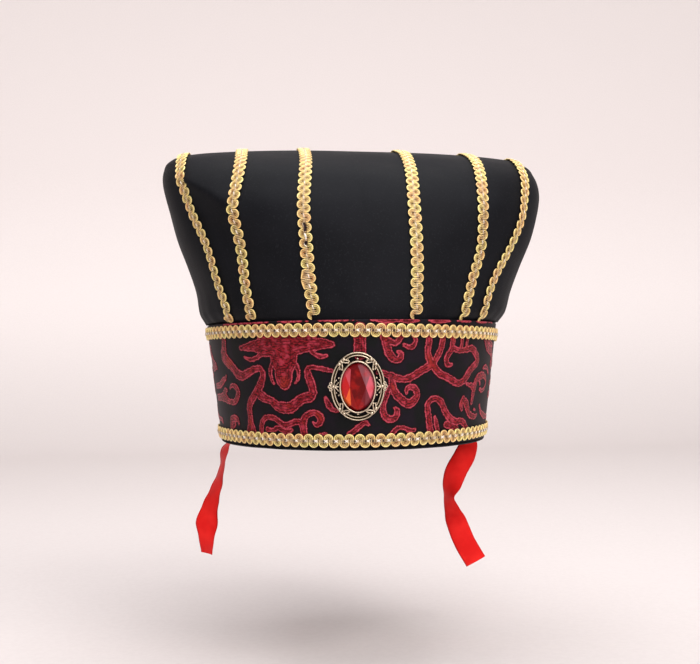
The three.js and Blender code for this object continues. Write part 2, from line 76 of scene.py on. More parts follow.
def mesh_piece(name, points, faces, uv=None, smooth=True, **attributes):
    """Makes an object from points in millimetres and arrays of faces with three or four corners."""
    groups = faces if isinstance(faces, list) else [faces]
    corners = np.concatenate([group.ravel() for group in groups])
    sizes = np.concatenate([np.full(len(group), group.shape[1]) for group in groups])
    mesh = bpy.data.meshes.new(name)
    mesh.vertices.add(len(points))
    mesh.vertices.foreach_set("co", (points * MM).ravel())
    mesh.loops.add(len(corners))
    mesh.loops.foreach_set("vertex_index", corners)
    mesh.polygons.add(len(sizes))
    mesh.polygons.foreach_set("loop_start", np.cumsum(sizes) - sizes)
    mesh.polygons.foreach_set("use_smooth", np.full(len(sizes), smooth))
    if uv is not None:
        mesh.uv_layers.new(name="UVMap").data.foreach_set("uv", uv[corners].ravel())
    for key, values in attributes.items():
        mesh.attributes.new(key, "FLOAT", "POINT").data.foreach_set("value", values.ravel())
    mesh.update(calc_edges=True)
    mesh.validate()
    made = bpy.data.objects.new(name, mesh)
    bpy.context.collection.objects.link(made)
    return made


def even_turns(count):
    """That many angles, evenly once round a circle."""
    return 2 * math.pi * np.arange(count) / count


def place_points(*axes):
    """Points from one array for each axis, spread over the same grid."""
    return np.stack(np.broadcast_arrays(*axes), -1)


def cloth_uv(across, up):
    """UV in metres of cloth, one row for each point of a grid."""
    return place_points(across, up).reshape(-1, 2) * MM


def lengths_along(points):
    """The distance from the first point to each point of a line."""
    return np.concatenate([[0], np.cumsum(np.linalg.norm(np.diff(points, axis=0), axis=1))])


def unit(vectors):
    """Each vector divided by its length."""
    return vectors / np.maximum(np.linalg.norm(vectors, axis=-1, keepdims=True), TINY)


def steps_along(points, closed=False):
    """The direction of travel at each point: the next point minus the one before."""
    if closed:
        return unit(np.roll(points, -1, 0) - np.roll(points, 1, 0))
    return unit(np.gradient(points, axis=0))


def tube(points, out, radius, sides=6, closed=False):
    """A round wire: each point plus radius times (cos a * side + sin a * up), for a round the wire.
    side is the travel crossed with out, and up is side crossed with the travel."""
    along = steps_along(points, closed)
    side = unit(np.cross(along, out))
    up = np.cross(side, along)
    turn = even_turns(sides)
    radius = np.broadcast_to(radius, (len(points),))[:, None, None]
    ring = np.cos(turn)[:, None] * side[:, None] + np.sin(turn)[:, None] * up[:, None]
    skin = (points[:, None] + radius * ring).reshape(-1, 3)
    faces = [grid_faces(len(points), sides, wrap_rows=closed)]
    if not closed:
        last = len(skin) - sides
        middle = np.arange(1, sides - 1)
        start_cap = np.stack([0 * middle, middle + 1, middle], -1)
        end_cap = np.stack([0 * middle + last, last + middle, last + middle + 1], -1)
        faces += [start_cap, end_cap]
    return skin, faces


def joined(parts):
    """Several (points, faces) as one, with the faces counted on from the points before them."""
    points = np.concatenate([part[0] for part in parts])
    faces = []
    start = 0
    for skin, groups in parts:
        faces += [group + start for group in groups]
        start += len(skin)
    return points, faces


def curve_between(table, place):
    """Catmull-Rom through the rows of a table: a smooth curve that passes through every row."""
    last = len(table) - 1
    i = np.clip(np.floor(place).astype(int), 0, last - 1)
    u = (place - i)[..., None]
    a, b, c, d = (table[np.clip(i + k, 0, last)] for k in (-1, 0, 1, 2))
    slope = c - a
    bend = 2 * a - 5 * b + 4 * c - d
    twist = 3 * b - a - 3 * c + d
    return b + 0.5 * (slope * u + bend * u**2 + twist * u**3)


print("helpers ready")

# %% [markdown]
# ## The headband's form
# The band is cut as a ring from stiffened cloth. Its plan is an oval, deeper than it is wide like
# a head, and it flares a little towards the top. A place on it is an arc length round from the
# front, measured at half height as a tape measure would, and a height above the rim.

# %% Places on the headband
RIM_HALF_WIDTH = 87.4
RIM_HALF_DEPTH = 99.5
BAND_FLARE = 0.121
BAND_FOOT = 1.5
BAND_HEIGHT = 76.0
BAND_WALL = 1.8
TAPE_HEIGHT = 38.0


def oval_at(height, offset=0.0):
    """Half width and half depth of the band's outer face at a height, moved out by offset."""
    grow = BAND_FLARE * height + offset
    return RIM_HALF_WIDTH + grow, RIM_HALF_DEPTH + grow


def tape_table(height, count=4001):
    """Angles once round the oval and the arc length to each, both zero at the front."""
    angle = np.linspace(-math.pi, math.pi, count)
    half_width, half_depth = oval_at(height)
    step = np.hypot(half_width * np.cos(angle), half_depth * np.sin(angle)) * (angle[1] - angle[0])
    length = np.cumsum(step) - step / 2
    return angle, length - np.interp(0, angle, length)


tape_angles, tape_lengths = tape_table(TAPE_HEIGHT)
HALF_ROUND = tape_lengths[-1]


def band_point(arc, height, offset):
    """x = half width * sin(angle), y = -half depth * cos(angle), at the angle of that arc length."""
    angle = np.interp(arc, tape_lengths, tape_angles)
    half_width, half_depth = oval_at(height, offset)
    x = half_width * np.sin(angle)
    y = -half_depth * np.cos(angle)
    return place_points(x, y, height)


print(f"the band is {2 * HALF_ROUND:.0f} mm round at half height")

# %% [markdown]
# ## The brocade's pattern
# Brocade is woven with extra silk that floats over a dark ground and makes raised scrolls. The motif
# here is a traditional one of cloud scrolls, hooks and a horned swag. It is charted as a weaver would:
# each stroke of the pattern is a few points on the flat cloth, each with the stroke's half width there.
# The chart repeats round the band. From it comes one number for each place on the cloth, how deep
# it lies inside the silk, and both the relief and the colour are made from that number.

# %% The chart of strokes
# Each stroke is a few points as (across, up, half width) in millimetres.
STROKES = [
    # The long arm at the left and the swag that hangs from it.
    [(-103, 72, 2.6), (-103.5, 65, 2.9), (-104.5, 60, 3.4), (-105.7, 56, 4.2), (-101, 52.5, 3.7),
     (-95, 49, 3.2), (-89.5, 44.8, 3.2), (-84.5, 43.8, 2.9), (-79, 45.5, 2.6), (-72.6, 47.8, 2.2),
     (-68, 48.3, 2)],
    [(-68, 48.3, 2), (-65.8, 45.2, 2), (-67.2, 41.3, 2.4), (-69.5, 37.5, 2.8), (-74.2, 32.8, 2.6),
     (-78.8, 28.2, 2.6), (-81, 23.6, 2.5), (-81, 19, 2.5), (-81, 14.4, 3), (-81, 9, 5)],
    [(-71, 35, 2.4), (-69.5, 32.5, 3.4), (-64.3, 30, 2.6), (-60.5, 29, 2.5), (-56.6, 26, 3.1),
     (-52, 25.2, 3.6), (-47.4, 25.2, 3.5), (-43.5, 27.5, 3.1), (-39, 30.5, 3.1), (-34.5, 31.5, 3.1),
     (-32, 34, 2.5)],
    [(-32, 34, 2.5), (-32.4, 37, 2.4), (-33.5, 40.5, 2.6), (-34.6, 44.5, 2.3), (-35, 47.5, 1.7),
     (-32.5, 48.8, 1.5), (-28.2, 48.2, 1.4), (-24.3, 47.5, 1.5), (-20, 46.4, 1.2)],
    # The spread wing and the tongue below it, with a ring at each side.
    [(-84, 60.6, 1.3), (-78, 61, 2.4), (-72, 61.5, 3.4), (-66, 61.5, 4.5), (-60, 61, 5.6),
     (-54, 60.5, 6), (-48, 60.5, 6), (-42, 61, 5.2), (-36, 61.5, 4.4), (-30, 62, 3.7),
     (-25, 62.2, 3.2), (-20, 61.8, 1.9)],
    [(-80.5, 55, 0.9), (-76, 53.6, 1.4), (-71, 54.2, 1.5), (-66, 56.5, 1.8), (-61, 57, 2)],
    [(-33, 59, 1.4), (-30, 56.4, 1.4), (-26.5, 54.8, 1.5), (-23, 55.4, 1)],
    [(-66, 68, 2.5), (-58, 67, 3.5), (-50, 67, 3.5), (-42, 67, 3.5), (-30, 68, 2.5)],
    [(-50, 57, 9.6), (-50, 53.5, 9), (-50, 51, 7.6)],
    [(-50.6, 48, 6.2), (-50.6, 43.5, 6), (-50.4, 40, 4.4), (-50.2, 38.6, 3)],
    [(-58.5, 50.5, 1.6), (-60, 46, 1.4), (-59.4, 42, 1.2), (-57.8, 39, 0.9)],
    [(-42, 50.5, 1.6), (-40.6, 46, 1.3), (-41.3, 42, 1.1), (-43, 39.6, 0.8)],
    # Two arms that end in a curl.
    [(-131, 36.8, 1.8), (-124, 37.2, 2), (-118.8, 37.8, 2.1), (-112.6, 40.2, 2.1), (-108, 42, 1.5),
     (-105.6, 43.6, 0.7)],
    [(-131, 29.6, 2.2), (-124, 29.8, 2.3), (-118, 30, 2.6), (-112, 30, 3.2), (-106, 28, 2),
     (-99, 27.4, 1.9), (-94.5, 29.4, 2.1), (-91.9, 32.8, 2.2), (-92.9, 36, 2.1), (-96, 37.6, 1.7),
     (-99.6, 37.4, 1.3), (-101.6, 36, 1)],
    [(-113, 32, 2.2), (-110, 34.4, 1.9), (-107, 34.6, 1.1)],
    [(-108, 9, 1.6), (-106.5, 13.5, 1.8), (-104.5, 16.8, 2), (-100, 17.3, 2.3), (-96.2, 16.8, 1.7),
     (-95, 14, 1)],
    [(-104, 12, 1.6), (-101, 14, 1.9)],
    [(-135, 49.5, 2.6), (-131, 50, 4), (-126, 50, 2.6), (-123, 48.6, 1.4)],
    [(-134, 15.6, 1.4), (-127, 15.4, 1.6), (-124.6, 13.6, 1)],
    # Low scrolls behind the lower braid.
    [(-71.4, 9, 2), (-70.6, 14.6, 2), (-67.5, 18.4, 1.9), (-63, 19.3, 1.7), (-59, 18.5, 1.8),
     (-55.5, 16.5, 1.9), (-52, 14.8, 1.9), (-48, 15.5, 1.9), (-44, 17, 1.9), (-41, 16.4, 2),
     (-39.6, 12, 2)],
    [(-66, 12, 1.6), (-62.2, 11.6, 1.3), (-57, 13, 1.7), (-52, 11, 1.8), (-47.6, 12, 1.4)],
    [(-39, 9, 2.2), (-39.2, 16.6, 2.3), (-36.5, 20.8, 2), (-32.2, 22.4, 1.9), (-28.6, 20.4, 2.2),
     (-28.3, 17, 2.1), (-30.8, 15.2, 1.5), (-32.8, 16.6, 0.9)],
    [(-29, 9.6, 1.1), (-25, 10.2, 0.8)],
    [(-11, 10, 1.5), (-7.6, 12, 1.8), (-4.6, 14.6, 1.7), (-1.6, 16.4, 1.5), (0.8, 15, 1)],
    [(-24.6, 31, 1.2), (-23, 27.2, 1.9), (-21, 24.5, 1.5), (-18, 23.5, 1.2)],
    [(-4.3, 71, 3.5), (-4.3, 65, 3.5), (-4.3, 56, 3.5)],
    # Hooks right of the brooch.
    [(8.6, 71, 2.4), (9.8, 63.6, 2.4), (11.2, 59, 2.5), (12.9, 55.2, 2.5), (15.8, 52.7, 2.3),
     (18.7, 53.3, 2.1), (19.2, 56, 1.7), (17.6, 57.2, 1.1)],
    [(12, 64, 1.7), (15, 62, 1.6), (17.6, 63.6, 1.8), (20, 67, 1.6)],
    [(21.2, 61.2, 1.3), (23.7, 59.9, 1.5), (26.6, 60.4, 1.6), (28.1, 63.2, 1.4), (26.8, 66.5, 1.4)],
    [(6, 45.6, 1.6), (11.4, 44.2, 1.9), (15.2, 42.8, 2.2), (19.8, 41.4, 2.1), (24.5, 41.7, 2.3),
     (29, 44, 2.4), (33.7, 46.7, 2.4), (37.5, 48.4, 2.7), (40.4, 49.3, 2.5)],
    [(39.4, 49.6, 2.5), (37.4, 53.6, 2.3), (36.4, 58.2, 2.2), (37, 63.6, 2.2), (37.4, 71, 2.2)],
    [(40.4, 49.3, 2.4), (42.5, 52.8, 2.2), (44.8, 56.7, 2.3), (46.4, 61.3, 2.2), (47, 71, 2)],
    # The round cloud and the hook inside it.
    [(41, 48.6, 2.5), (44.5, 45.3, 2.5), (47.8, 43.3, 2.4), (51.7, 42.2, 2.3), (56.3, 40.3, 2.4),
     (60.2, 38.6, 2.3), (64, 38, 2.1), (67.8, 39.4, 2.3), (71.7, 42.8, 2.7), (74.8, 45.9, 2.6),
     (78.6, 48.2, 2.5), (82.4, 50.4, 2.5), (83, 53, 2.2), (80.2, 55.4, 2.5), (77, 57.8, 2.5),
     (73.2, 59, 2.2), (68.6, 58.3, 1.9), (64, 57.9, 1.8), (60.2, 57.8, 1.8), (56.6, 59, 1.9)],
    [(54, 71, 2.3), (55, 63, 2.2), (54.4, 58.4, 2), (51.7, 55.2, 2), (50.6, 52, 1.9),
     (52, 49.2, 1.7), (55.4, 49.4, 1)],
    [(62, 71, 1.6), (63.4, 64, 1.4), (62.6, 59, 1.4)],
    [(70, 71, 1.6), (68.6, 64, 1.3), (68.6, 59.4, 1.4)],
    # Curls under it.
    [(13.6, 41.5, 1.7), (14.8, 37, 2.3), (16.8, 32.8, 2.5), (20.6, 29.4, 2.6), (24.6, 27, 2.8),
     (28.3, 28.4, 2.7), (30.5, 32, 2.2), (29, 35.5, 2.1), (26, 36.8, 1.8), (23.5, 35.4, 1.5),
     (23.4, 33, 1)],
    [(12.8, 37, 1.3), (11, 31.5, 1.7), (9.5, 27, 1.8), (9.3, 23.2, 2), (11, 19.6, 2.2),
     (14.2, 18, 2.2), (17.2, 19.6, 2.1), (18, 22.6, 1.8), (16.4, 24.8, 1.1)],
    [(14.6, 9, 1.6), (18.2, 12.6, 1.5), (22.2, 13, 1.3), (26, 11.4, 1.5), (30, 11.4, 1.1)],
    [(41.4, 9, 2.6), (39.8, 17.5, 2.3), (38.7, 22, 2.2), (38.2, 26, 2.1), (40.7, 28.8, 1.9),
     (44.5, 29.3, 2), (48.8, 27, 2.3), (51, 23.6, 2.3), (54, 19.8, 2.3), (57.8, 16.8, 2.5),
     (63.2, 15, 2.2), (68.6, 15, 2.1), (73.2, 12.8, 2.2), (77, 9, 1.8)],
    [(54, 13.6, 2.1), (59.4, 12.4, 2.1), (65, 11, 1.5)],
    [(44.4, 18.4, 1), (45.4, 15.6, 1.7), (47, 11, 1.8)],
    # Broken clouds at the right side.
    [(69.6, 29, 1.5), (67.8, 25.4, 2.2), (68.4, 22.4, 1.5)],
    [(69.4, 27.8, 1.7), (72.5, 26, 2.6), (74.8, 22.8, 2.6), (77.8, 19.2, 2.1), (81.7, 17.5, 2),
     (86.3, 16.8, 1.7), (89.6, 17.8, 1.1)],
    [(84.4, 21.4, 0.9), (86.4, 21, 0.9)],
    [(80, 25.6, 1.4), (80.9, 30.5, 1.9), (82, 34.8, 2.6), (83.6, 39, 2.4), (87, 41.4, 2.5),
     (91.7, 42.2, 2.5), (97, 42, 1.9), (101.5, 40, 1.4), (103, 36.6, 1.2), (100, 33.8, 1.3),
     (95, 32.6, 1.4), (91, 33.8, 1.3)],
    [(81, 34.6, 2.2), (78, 36.2, 1.9), (74.8, 36.8, 1.3), (71.6, 37.8, 1.1)],
    [(90.6, 36.6, 1), (89, 39.6, 1.2)],
    [(94, 46.6, 1.1), (98, 47.6, 1.6), (103, 46.4, 1.2), (107.4, 43.6, 1.1)],
    [(91.6, 66.5, 1.4), (94, 63.4, 1.8), (98, 60.2, 2.5), (103, 58.6, 2.7), (109, 57.4, 2.8),
     (115, 54.2, 2.4)],
    [(99, 64, 1.3), (105, 62.6, 1.5), (112, 61.4, 1.4)],
    [(93.6, 23.4, 1), (97.8, 19.2, 1.5), (102.5, 17.5, 1.9), (108, 16, 2), (114, 15.8, 1.4)],
    # What shows of the pattern on the strip above the upper braid.
    [(-101, 75.3, 0.5), (-92, 75.5, 0.9), (-84, 75.3, 0.6), (-74, 75.6, 1.0), (-64, 75.3, 0.7),
     (-58, 75.5, 0.3)],
    [(-52, 75.6, 0.3), (-46, 75.3, 0.9), (-39, 75.5, 0.7), (-33, 75.3, 0.3)],
    [(-28, 75.6, 0.3), (-20, 75.4, 0.8), (-12, 75.5, 0.5), (-6, 75.3, 0.2)],
    [(0.5, 75.8, 0.2), (5, 75.4, 1.1), (11, 75.0, 1.5), (17, 75.2, 1.1), (24, 74.9, 1.5),
     (30, 75.2, 0.5)],
    [(36, 75.4, 0.3), (40, 75.0, 1.4), (47, 75.2, 1.2), (53, 75.0, 0.4)],
    [(58, 75.5, 0.6), (66, 75.3, 0.9), (72, 75.4, 0.3)],
    [(78, 75.4, 0.7), (86, 75.3, 0.9), (95, 75.5, 0.4), (104, 75.4, 0.6)],
]
REPEAT = 248.0
STROKE_STEP = 0.35
EDGE_REACH = 3.0
EDGE_WANDER = 0.28


def stroke_line(points):
    """The stroke's middle line and half width: a smooth curve through its points, finely sampled."""
    table = np.array(points, float)
    length = np.hypot(*np.diff(table[:, :2], axis=0).T).sum()
    return curve_between(table, np.linspace(0, len(table) - 1, int(length / STROKE_STEP) + 2))


def silk_depth(arc, height):
    """The largest of (half width - distance to the stroke's middle line) over all strokes, with a
    small wander of the edge from floats that end a thread early or late."""
    depth = np.full(arc.shape, -EDGE_REACH)
    for shift in (-REPEAT, 0.0, REPEAT):
        for points in STROKES:
            line = stroke_line(points) + (shift, 0, 0)
            reach = line[:, 2:].max() + EDGE_REACH
            low = line[:, :2].min(0) - reach
            high = line[:, :2].max(0) + reach
            near = (arc > low[0]) & (arc < high[0]) & (height > low[1]) & (height < high[1])
            if not near.any():
                continue
            place = np.stack([arc[near], height[near]], -1)
            gap = np.linalg.norm(place[:, None] - line[None, :, :2], axis=-1)
            depth[near] = np.maximum(depth[near], (line[:, 2] - gap).max(1))
    along = np.sin(1.31 * arc + 2.1 * np.sin(0.47 * height))
    upward = np.sin(1.17 * height + 1.7 * np.sin(0.39 * arc))
    return depth + EDGE_WANDER * (along * upward)


print(f"{len(STROKES)} strokes in a repeat of {REPEAT:.0f} mm")

# %% [markdown]
# ## The brocade band as a mesh
# The band's wall is one closed skin. Its section runs up the outer face, over the folded top edge,
# down the inside and round the foot, and that section is carried round the oval. The outer face
# has a fine grid, because the silk stands up from the ground by about a third of a millimetre and
# its edge has to show. The inside is plain cloth, so a few rows are enough there.

# %% Weave the band
BAND_COLUMNS = 840
OUTER_ROWS = 101
INNER_ROWS = 4
EDGE_ROWS = 3
GROUND_SINK = 0.12
SILK_RISE = 0.34
# The silk begins to rise a little outside its edge and is at full height this deep inside it.
SHOULDER = 0.7
SHOULDER_START = 0.35
SHOULDER_ROUNDNESS = 0.7


def band_section():
    """Offsets and heights of the wall's section: outer face, top edge, inner face, foot."""
    half = BAND_WALL / 2
    turn = np.linspace(0, math.pi, EDGE_ROWS + 2)[1:-1]
    outer = np.linspace(BAND_FOOT + half, BAND_HEIGHT - half, OUTER_ROWS)
    inner = np.linspace(BAND_HEIGHT - half, BAND_FOOT + half, INNER_ROWS)
    across = half * np.cos(turn)
    bulge = half * np.sin(turn)
    offsets = np.concatenate([0 * outer, across - half, 0 * inner - BAND_WALL, -across - half])
    heights = np.concatenate([outer, outer[-1] + bulge, inner, outer[0] - bulge])
    return offsets, heights


def brocade_band():
    """The section at every arc length, with its outer face raised by the silk's smooth step."""
    offsets, heights = band_section()
    arc = np.linspace(-HALF_ROUND, HALF_ROUND, BAND_COLUMNS, endpoint=False)
    arcs, levels = np.meshgrid(arc, heights)
    facing_out = np.broadcast_to((offsets > -BAND_WALL / 2)[:, None], arcs.shape)
    silk = np.where(facing_out, silk_depth(arcs, levels), -EDGE_REACH)
    rise = SILK_RISE * np.clip(silk / SHOULDER + SHOULDER_START, 0, 1) ** SHOULDER_ROUNDNESS
    lifted = offsets[:, None] + np.where(facing_out, rise - GROUND_SINK, 0)
    points = band_point(arcs, levels, lifted).reshape(-1, 3)
    faces = grid_faces(len(heights), BAND_COLUMNS, wrap_rows=True)
    return mesh_piece("brocade_band_woven", points, faces, cloth_uv(arcs, levels), silk=silk)


band = brocade_band()
print("band faces:", len(band.data.polygons))

# %% [markdown]
# ## The crown
# The crown is soft satin over a light stiffening. Seen from the front its sides flare straight out
# to round corners and the top is nearly level. Seen from the side the front wall leans back to a
# soft shoulder and then slopes up to a ridge that runs from left to right. Level sections of it
# are rounded ovals, so a table of sections and a smooth curve between them give the whole form.
# Soft hollows, one sharp crease, a puff over the band's edge and faint puckers then move it along
# its normal.

# %% Sections of the crown
PIECE_GAP = 0.3
CROWN_WALL = 1.3
TUCK_OFFSET = BAND_WALL + PIECE_GAP
TUCK_FOOT = 66.0
# Columns: height, half width, half depth, shift to the right, squareness, from 2 for an oval.
CROWN_SECTIONS = np.array([
    (TUCK_FOOT, *oval_at(TUCK_FOOT, -TUCK_OFFSET), 0, 2.0),
    (BAND_HEIGHT, *oval_at(BAND_HEIGHT, -TUCK_OFFSET), 0, 2.0),
    (84, 101.3, 107.4, 0.7, 2.05),
    (98, 105.1, 106.0, 1.4, 2.1),
    (115, 111.0, 103.0, 1.7, 2.2),
    (132, 117.6, 99.5, 2.2, 2.3),
    (147, 121.9, 93.5, 2.2, 2.4),
    (160, 125.0, 84.0, 1.8, 2.4),
    (170, 126.0, 73.5, 1.0, 2.4),
    (178, 125.0, 60.5, 0.2, 2.4),
    (184.5, 121.3, 46.0, -0.3, 2.4),
    (189.5, 108.5, 30.0, -0.2, 2.3),
    (193.2, 66.0, 14.0, 0, 2.2),
    (194.3, 0, 0, 0, 2.0),
])
TOP_ROW = len(CROWN_SECTIONS) - 1
MIRRORED = np.array([1, -1, -1, 1, 1])
# The top sits lower to the right: its slope, the x it starts from, and the heights it grows over.
SAG_SLOPE = 0.0125
SAG_START = -110.0
SAG_HEIGHTS = (95.0, 180.0)
# Columns: angle from the front, row, half size in degrees, half size in rows, lean, depth.
HOLLOWS = [
    (-46, 4.8, 9, 1.7, -5, 3.8),
    (46, 5.6, 8, 1.4, 5, 1.6),
    (-134, 5.5, 9, 1.4, 5, 2.0),
    (134, 5.5, 9, 1.4, -5, 2.0),
    (6, 2.9, 11, 1.1, 0, 1.0),
    (-9, 2.3, 2.2, 0.5, -1, 0.8),
    (14, 3.3, 3.5, 1.0, 6, -0.7),
]
# The crease: a place on it in degrees and rows, the rows it falls per degree, how far it reaches
# up and down in rows, half its length in degrees, and how far it stands out.
CREASE_ANGLE = -47.0
CREASE_ROW = 6.7
CREASE_SLOPE = 0.107
CREASE_REACH = (1.2, 0.5)
CREASE_SPREAD = 10.5
CREASE_RISE = 4.2
# How far the satin puffs out over the band, the rows where that starts and is full, and its fade.
FOOT_PUFF = 2.0
PUFF_START = 1.05
PUFF_FULL = 1.3
PUFF_FADE = 0.6
# The gathers where the satin is sewn on: how many round the crown, how deep, and over how many
# rows they fade. Slack is the depth of the satin's soft unevenness.
GATHERS = 37
GATHER_DEPTH = 0.45
GATHER_FADE = 0.8
SLACK_DEPTH = 0.35
NORMAL_STEP = 1e-3


def section_at(row):
    """Height, half width, half depth, shift and squareness on the sections' smooth curve. Past the
    top it opens again with its half sizes negative."""
    table = np.concatenate([CROWN_SECTIONS, CROWN_SECTIONS[-2:-3:-1] * MIRRORED])
    return np.moveaxis(curve_between(table, row), -1, 0)


def crown_form(angle, row):
    """|(x - shift) / half width|^n + |y / half depth|^n = 1, lowered a little towards the right."""
    height, half_width, half_depth, shift, n = section_at(row)
    across = np.sin(angle)
    ahead = np.cos(angle)
    reach = (np.abs(across) ** n + np.abs(ahead) ** n) ** (1 / n)
    x = shift + half_width * across / reach
    low, high = SAG_HEIGHTS
    share = np.clip((height - low) / (high - low), 0, 1)
    sag = share**2 * (3 - 2 * share) * SAG_SLOPE * (x - SAG_START)
    return np.stack([x, -half_depth * ahead / reach, height - sag], -1)


def crown_normal(angle, row):
    """The cross product of two short steps over the form, one round it and one up it."""
    row = np.minimum(row, TOP_ROW - 2 * NORMAL_STEP)
    round_it = crown_form(angle + NORMAL_STEP, row) - crown_form(angle - NORMAL_STEP, row)
    up_it = crown_form(angle, row + NORMAL_STEP) - crown_form(angle, row - NORMAL_STEP)
    return unit(np.cross(round_it, up_it))


def hollow_depth(angle, row):
    """The sum of each hollow's depth times exp(-(turn / spread)^2 - (rows / reach)^2)."""
    total = np.zeros(np.broadcast_shapes(np.shape(angle), np.shape(row)))
    for centre, middle, spread, reach, lean, depth in HOLLOWS:
        rows = row - middle
        turn = (np.degrees(angle) - centre - lean * rows + 180) % 360 - 180
        total = total + depth * np.exp(-((turn / spread) ** 2) - (rows / reach) ** 2)
    return total


def crease_rise(angle, row):
    """rise * exp(-rows from the crease / reach): a sharp ridge that runs down to the right between
    the two left braids. Its upper side looks up and is light, its lower side looks down."""
    turn = (np.degrees(angle) + 180) % 360 - 180 - CREASE_ANGLE
    above = row - CREASE_ROW + turn * CREASE_SLOPE
    reach = np.where(above > 0, *CREASE_REACH)
    return CREASE_RISE * np.exp(-np.abs(above) / reach - (turn / CREASE_SPREAD) ** 4)


def puckers(angle, row):
    """Small gathers where the satin is sewn to the band, fading out upwards, and a soft unevenness."""
    fade = np.exp(-np.maximum(row - 1, 0) / GATHER_FADE) * np.clip(row - 0.6, 0, 1)
    gathers = GATHER_DEPTH * np.sin(GATHERS * angle + 1.3 * np.sin(5 * angle)) * fade
    slack = SLACK_DEPTH * np.sin(3 * angle + 0.9 * row) * np.sin(1.1 * row + 2 * angle + 0.7)
    rest = np.clip((row - 1.2) / 2, 0, 1) * np.clip((TOP_ROW - row) / 2, 0, 1)
    return gathers + slack * rest


def foot_puff(angle, row):
    """puff * sin(angle)^2 just above the band, fading upwards: at the sides the satin puffs out
    over the band's edge."""
    swell = np.clip((row - PUFF_START) / (PUFF_FULL - PUFF_START), 0, 1)
    return FOOT_PUFF * np.sin(angle) ** 2 * swell * np.exp(-np.maximum(row - PUFF_FULL, 0) / PUFF_FADE)


def crown_point(angle, row, offset=0.0):
    """The form with its hollows, crease, puff and puckers, moved out along its normal by offset."""
    raised = crease_rise(angle, row) + puckers(angle, row) + foot_puff(angle, row)
    out = offset - hollow_depth(angle, row) + raised
    return crown_form(angle, row) + crown_normal(angle, row) * out[..., None]


print(f"the crown is {2 * CROWN_SECTIONS[:, 1].max():.0f} mm wide")

# %% [markdown]
# The crown's mesh is an outer and an inner skin, 1.3 mm apart, joined along the edge that is
# tucked into the band. Both skins are grids of angle and row that end in one point on the ridge.

# %% Sew the crown
CROWN_COLUMNS = 240
CROWN_ROWS = 130
# Millimetres of cloth in a radian round the crown and in a row up it, for the weave.
CLOTH_ROUND = 110
CLOTH_UP = 14


def crown_skin(offset):
    """A grid of angle and row, and last the single point at the top."""
    angle = even_turns(CROWN_COLUMNS)
    row = np.linspace(0, TOP_ROW, CROWN_ROWS, endpoint=False)
    rows, angles = np.meshgrid(row, angle, indexing="ij")
    skin = crown_point(angles, rows, offset).reshape(-1, 3)
    top = crown_form(np.zeros(1), np.full(1, float(TOP_ROW))) + (0, 0, offset)
    uv = cloth_uv(angles * CLOTH_ROUND, rows * CLOTH_UP)
    top_uv = cloth_uv(np.zeros(1), np.full(1, TOP_ROW * CLOTH_UP))
    return np.concatenate([skin, top]), np.concatenate([uv, top_uv])


def satin_crown():
    """Outer skin, inner skin with its faces turned over, and the edge strip between them."""
    outer, outer_uv = crown_skin(0.0)
    inner, inner_uv = crown_skin(-CROWN_WALL)
    size = len(outer)
    quads = grid_faces(CROWN_ROWS, CROWN_COLUMNS)
    column = np.arange(CROWN_COLUMNS)
    after = (column + 1) % CROWN_COLUMNS
    ring = (CROWN_ROWS - 1) * CROWN_COLUMNS
    cap = np.stack([ring + column, ring + after, np.full(CROWN_COLUMNS, size - 1)], -1)
    edge = np.stack([size + column, size + after, after, column], -1)
    faces = [quads, quads[:, ::-1] + size, cap, cap[:, ::-1] + size, edge]
    points = np.concatenate([outer, inner])
    uv = np.concatenate([outer_uv, inner_uv])
    return mesh_piece("satin_crown", points, faces, uv=uv)


crown = satin_crown()
print("crown faces:", len(crown.data.polygons))

# %% [markdown]
# ## The rim binding
# A strip of satin is folded under the band's foot and turned up inside, so that a thin black edge
# shows below the braid. It is a closed profile with a rounded fold, carried round the same oval.

# %% Fold the binding
BINDING_HEIGHT = 10.0
BINDING_WALL = 1.0
BINDING_EDGE = 1.2
BINDING_COLUMNS = 240
FOLD_STEPS = 9
HEM_STEPS = 7
SIDE_STEPS = 4
PULL = 0.12


def binding_profile():
    """Offset and height round the folded strip: a half circle under the wall, then up the inside."""
    inside = -BAND_WALL - PIECE_GAP
    back = inside - BINDING_WALL
    middle = back / 2
    turn = np.linspace(0, math.pi, FOLD_STEPS)
    fold = np.stack([middle - middle * np.cos(turn), BINDING_EDGE - BINDING_EDGE * np.sin(turn)], -1)
    hem = BINDING_WALL / 2
    top = np.linspace(math.pi, 0, HEM_STEPS)
    edge = np.stack([inside - hem + hem * np.cos(top), BINDING_HEIGHT - hem + hem * np.sin(top)], -1)
    side = np.linspace(BINDING_EDGE, BINDING_HEIGHT - hem, SIDE_STEPS + 2)[1:-1]
    rise = np.stack([np.full(SIDE_STEPS, back), side], -1)
    fall = np.stack([np.full(SIDE_STEPS, inside), side[::-1]], -1)
    return np.concatenate([fold, rise, edge, fall, [[inside, BINDING_EDGE]]])[::-1]


def rim_binding():
    """The profile at every arc length, with the fold pulled a little unevenly as cloth is."""
    profile = binding_profile()
    arc = np.linspace(-HALF_ROUND, HALF_ROUND, BINDING_COLUMNS, endpoint=False)
    arcs, offsets = np.meshgrid(arc, profile[:, 0])
    heights = np.broadcast_to(profile[:, 1:], arcs.shape)
    low = np.clip(1 - heights / BINDING_EDGE, 0, 1)
    uneven = PULL * np.sin(arcs * 0.11) * np.sin(arcs * 0.037 + 1) * low
    points = band_point(arcs, heights + np.abs(uneven), offsets).reshape(-1, 3)
    uv = cloth_uv(arcs, heights + offsets)
    faces = grid_faces(len(profile), BINDING_COLUMNS, wrap_rows=True)
    return mesh_piece("rim_binding_satin", points, faces, uv=uv)


binding = rim_binding()
print("binding faces:", len(binding.data.polygons))

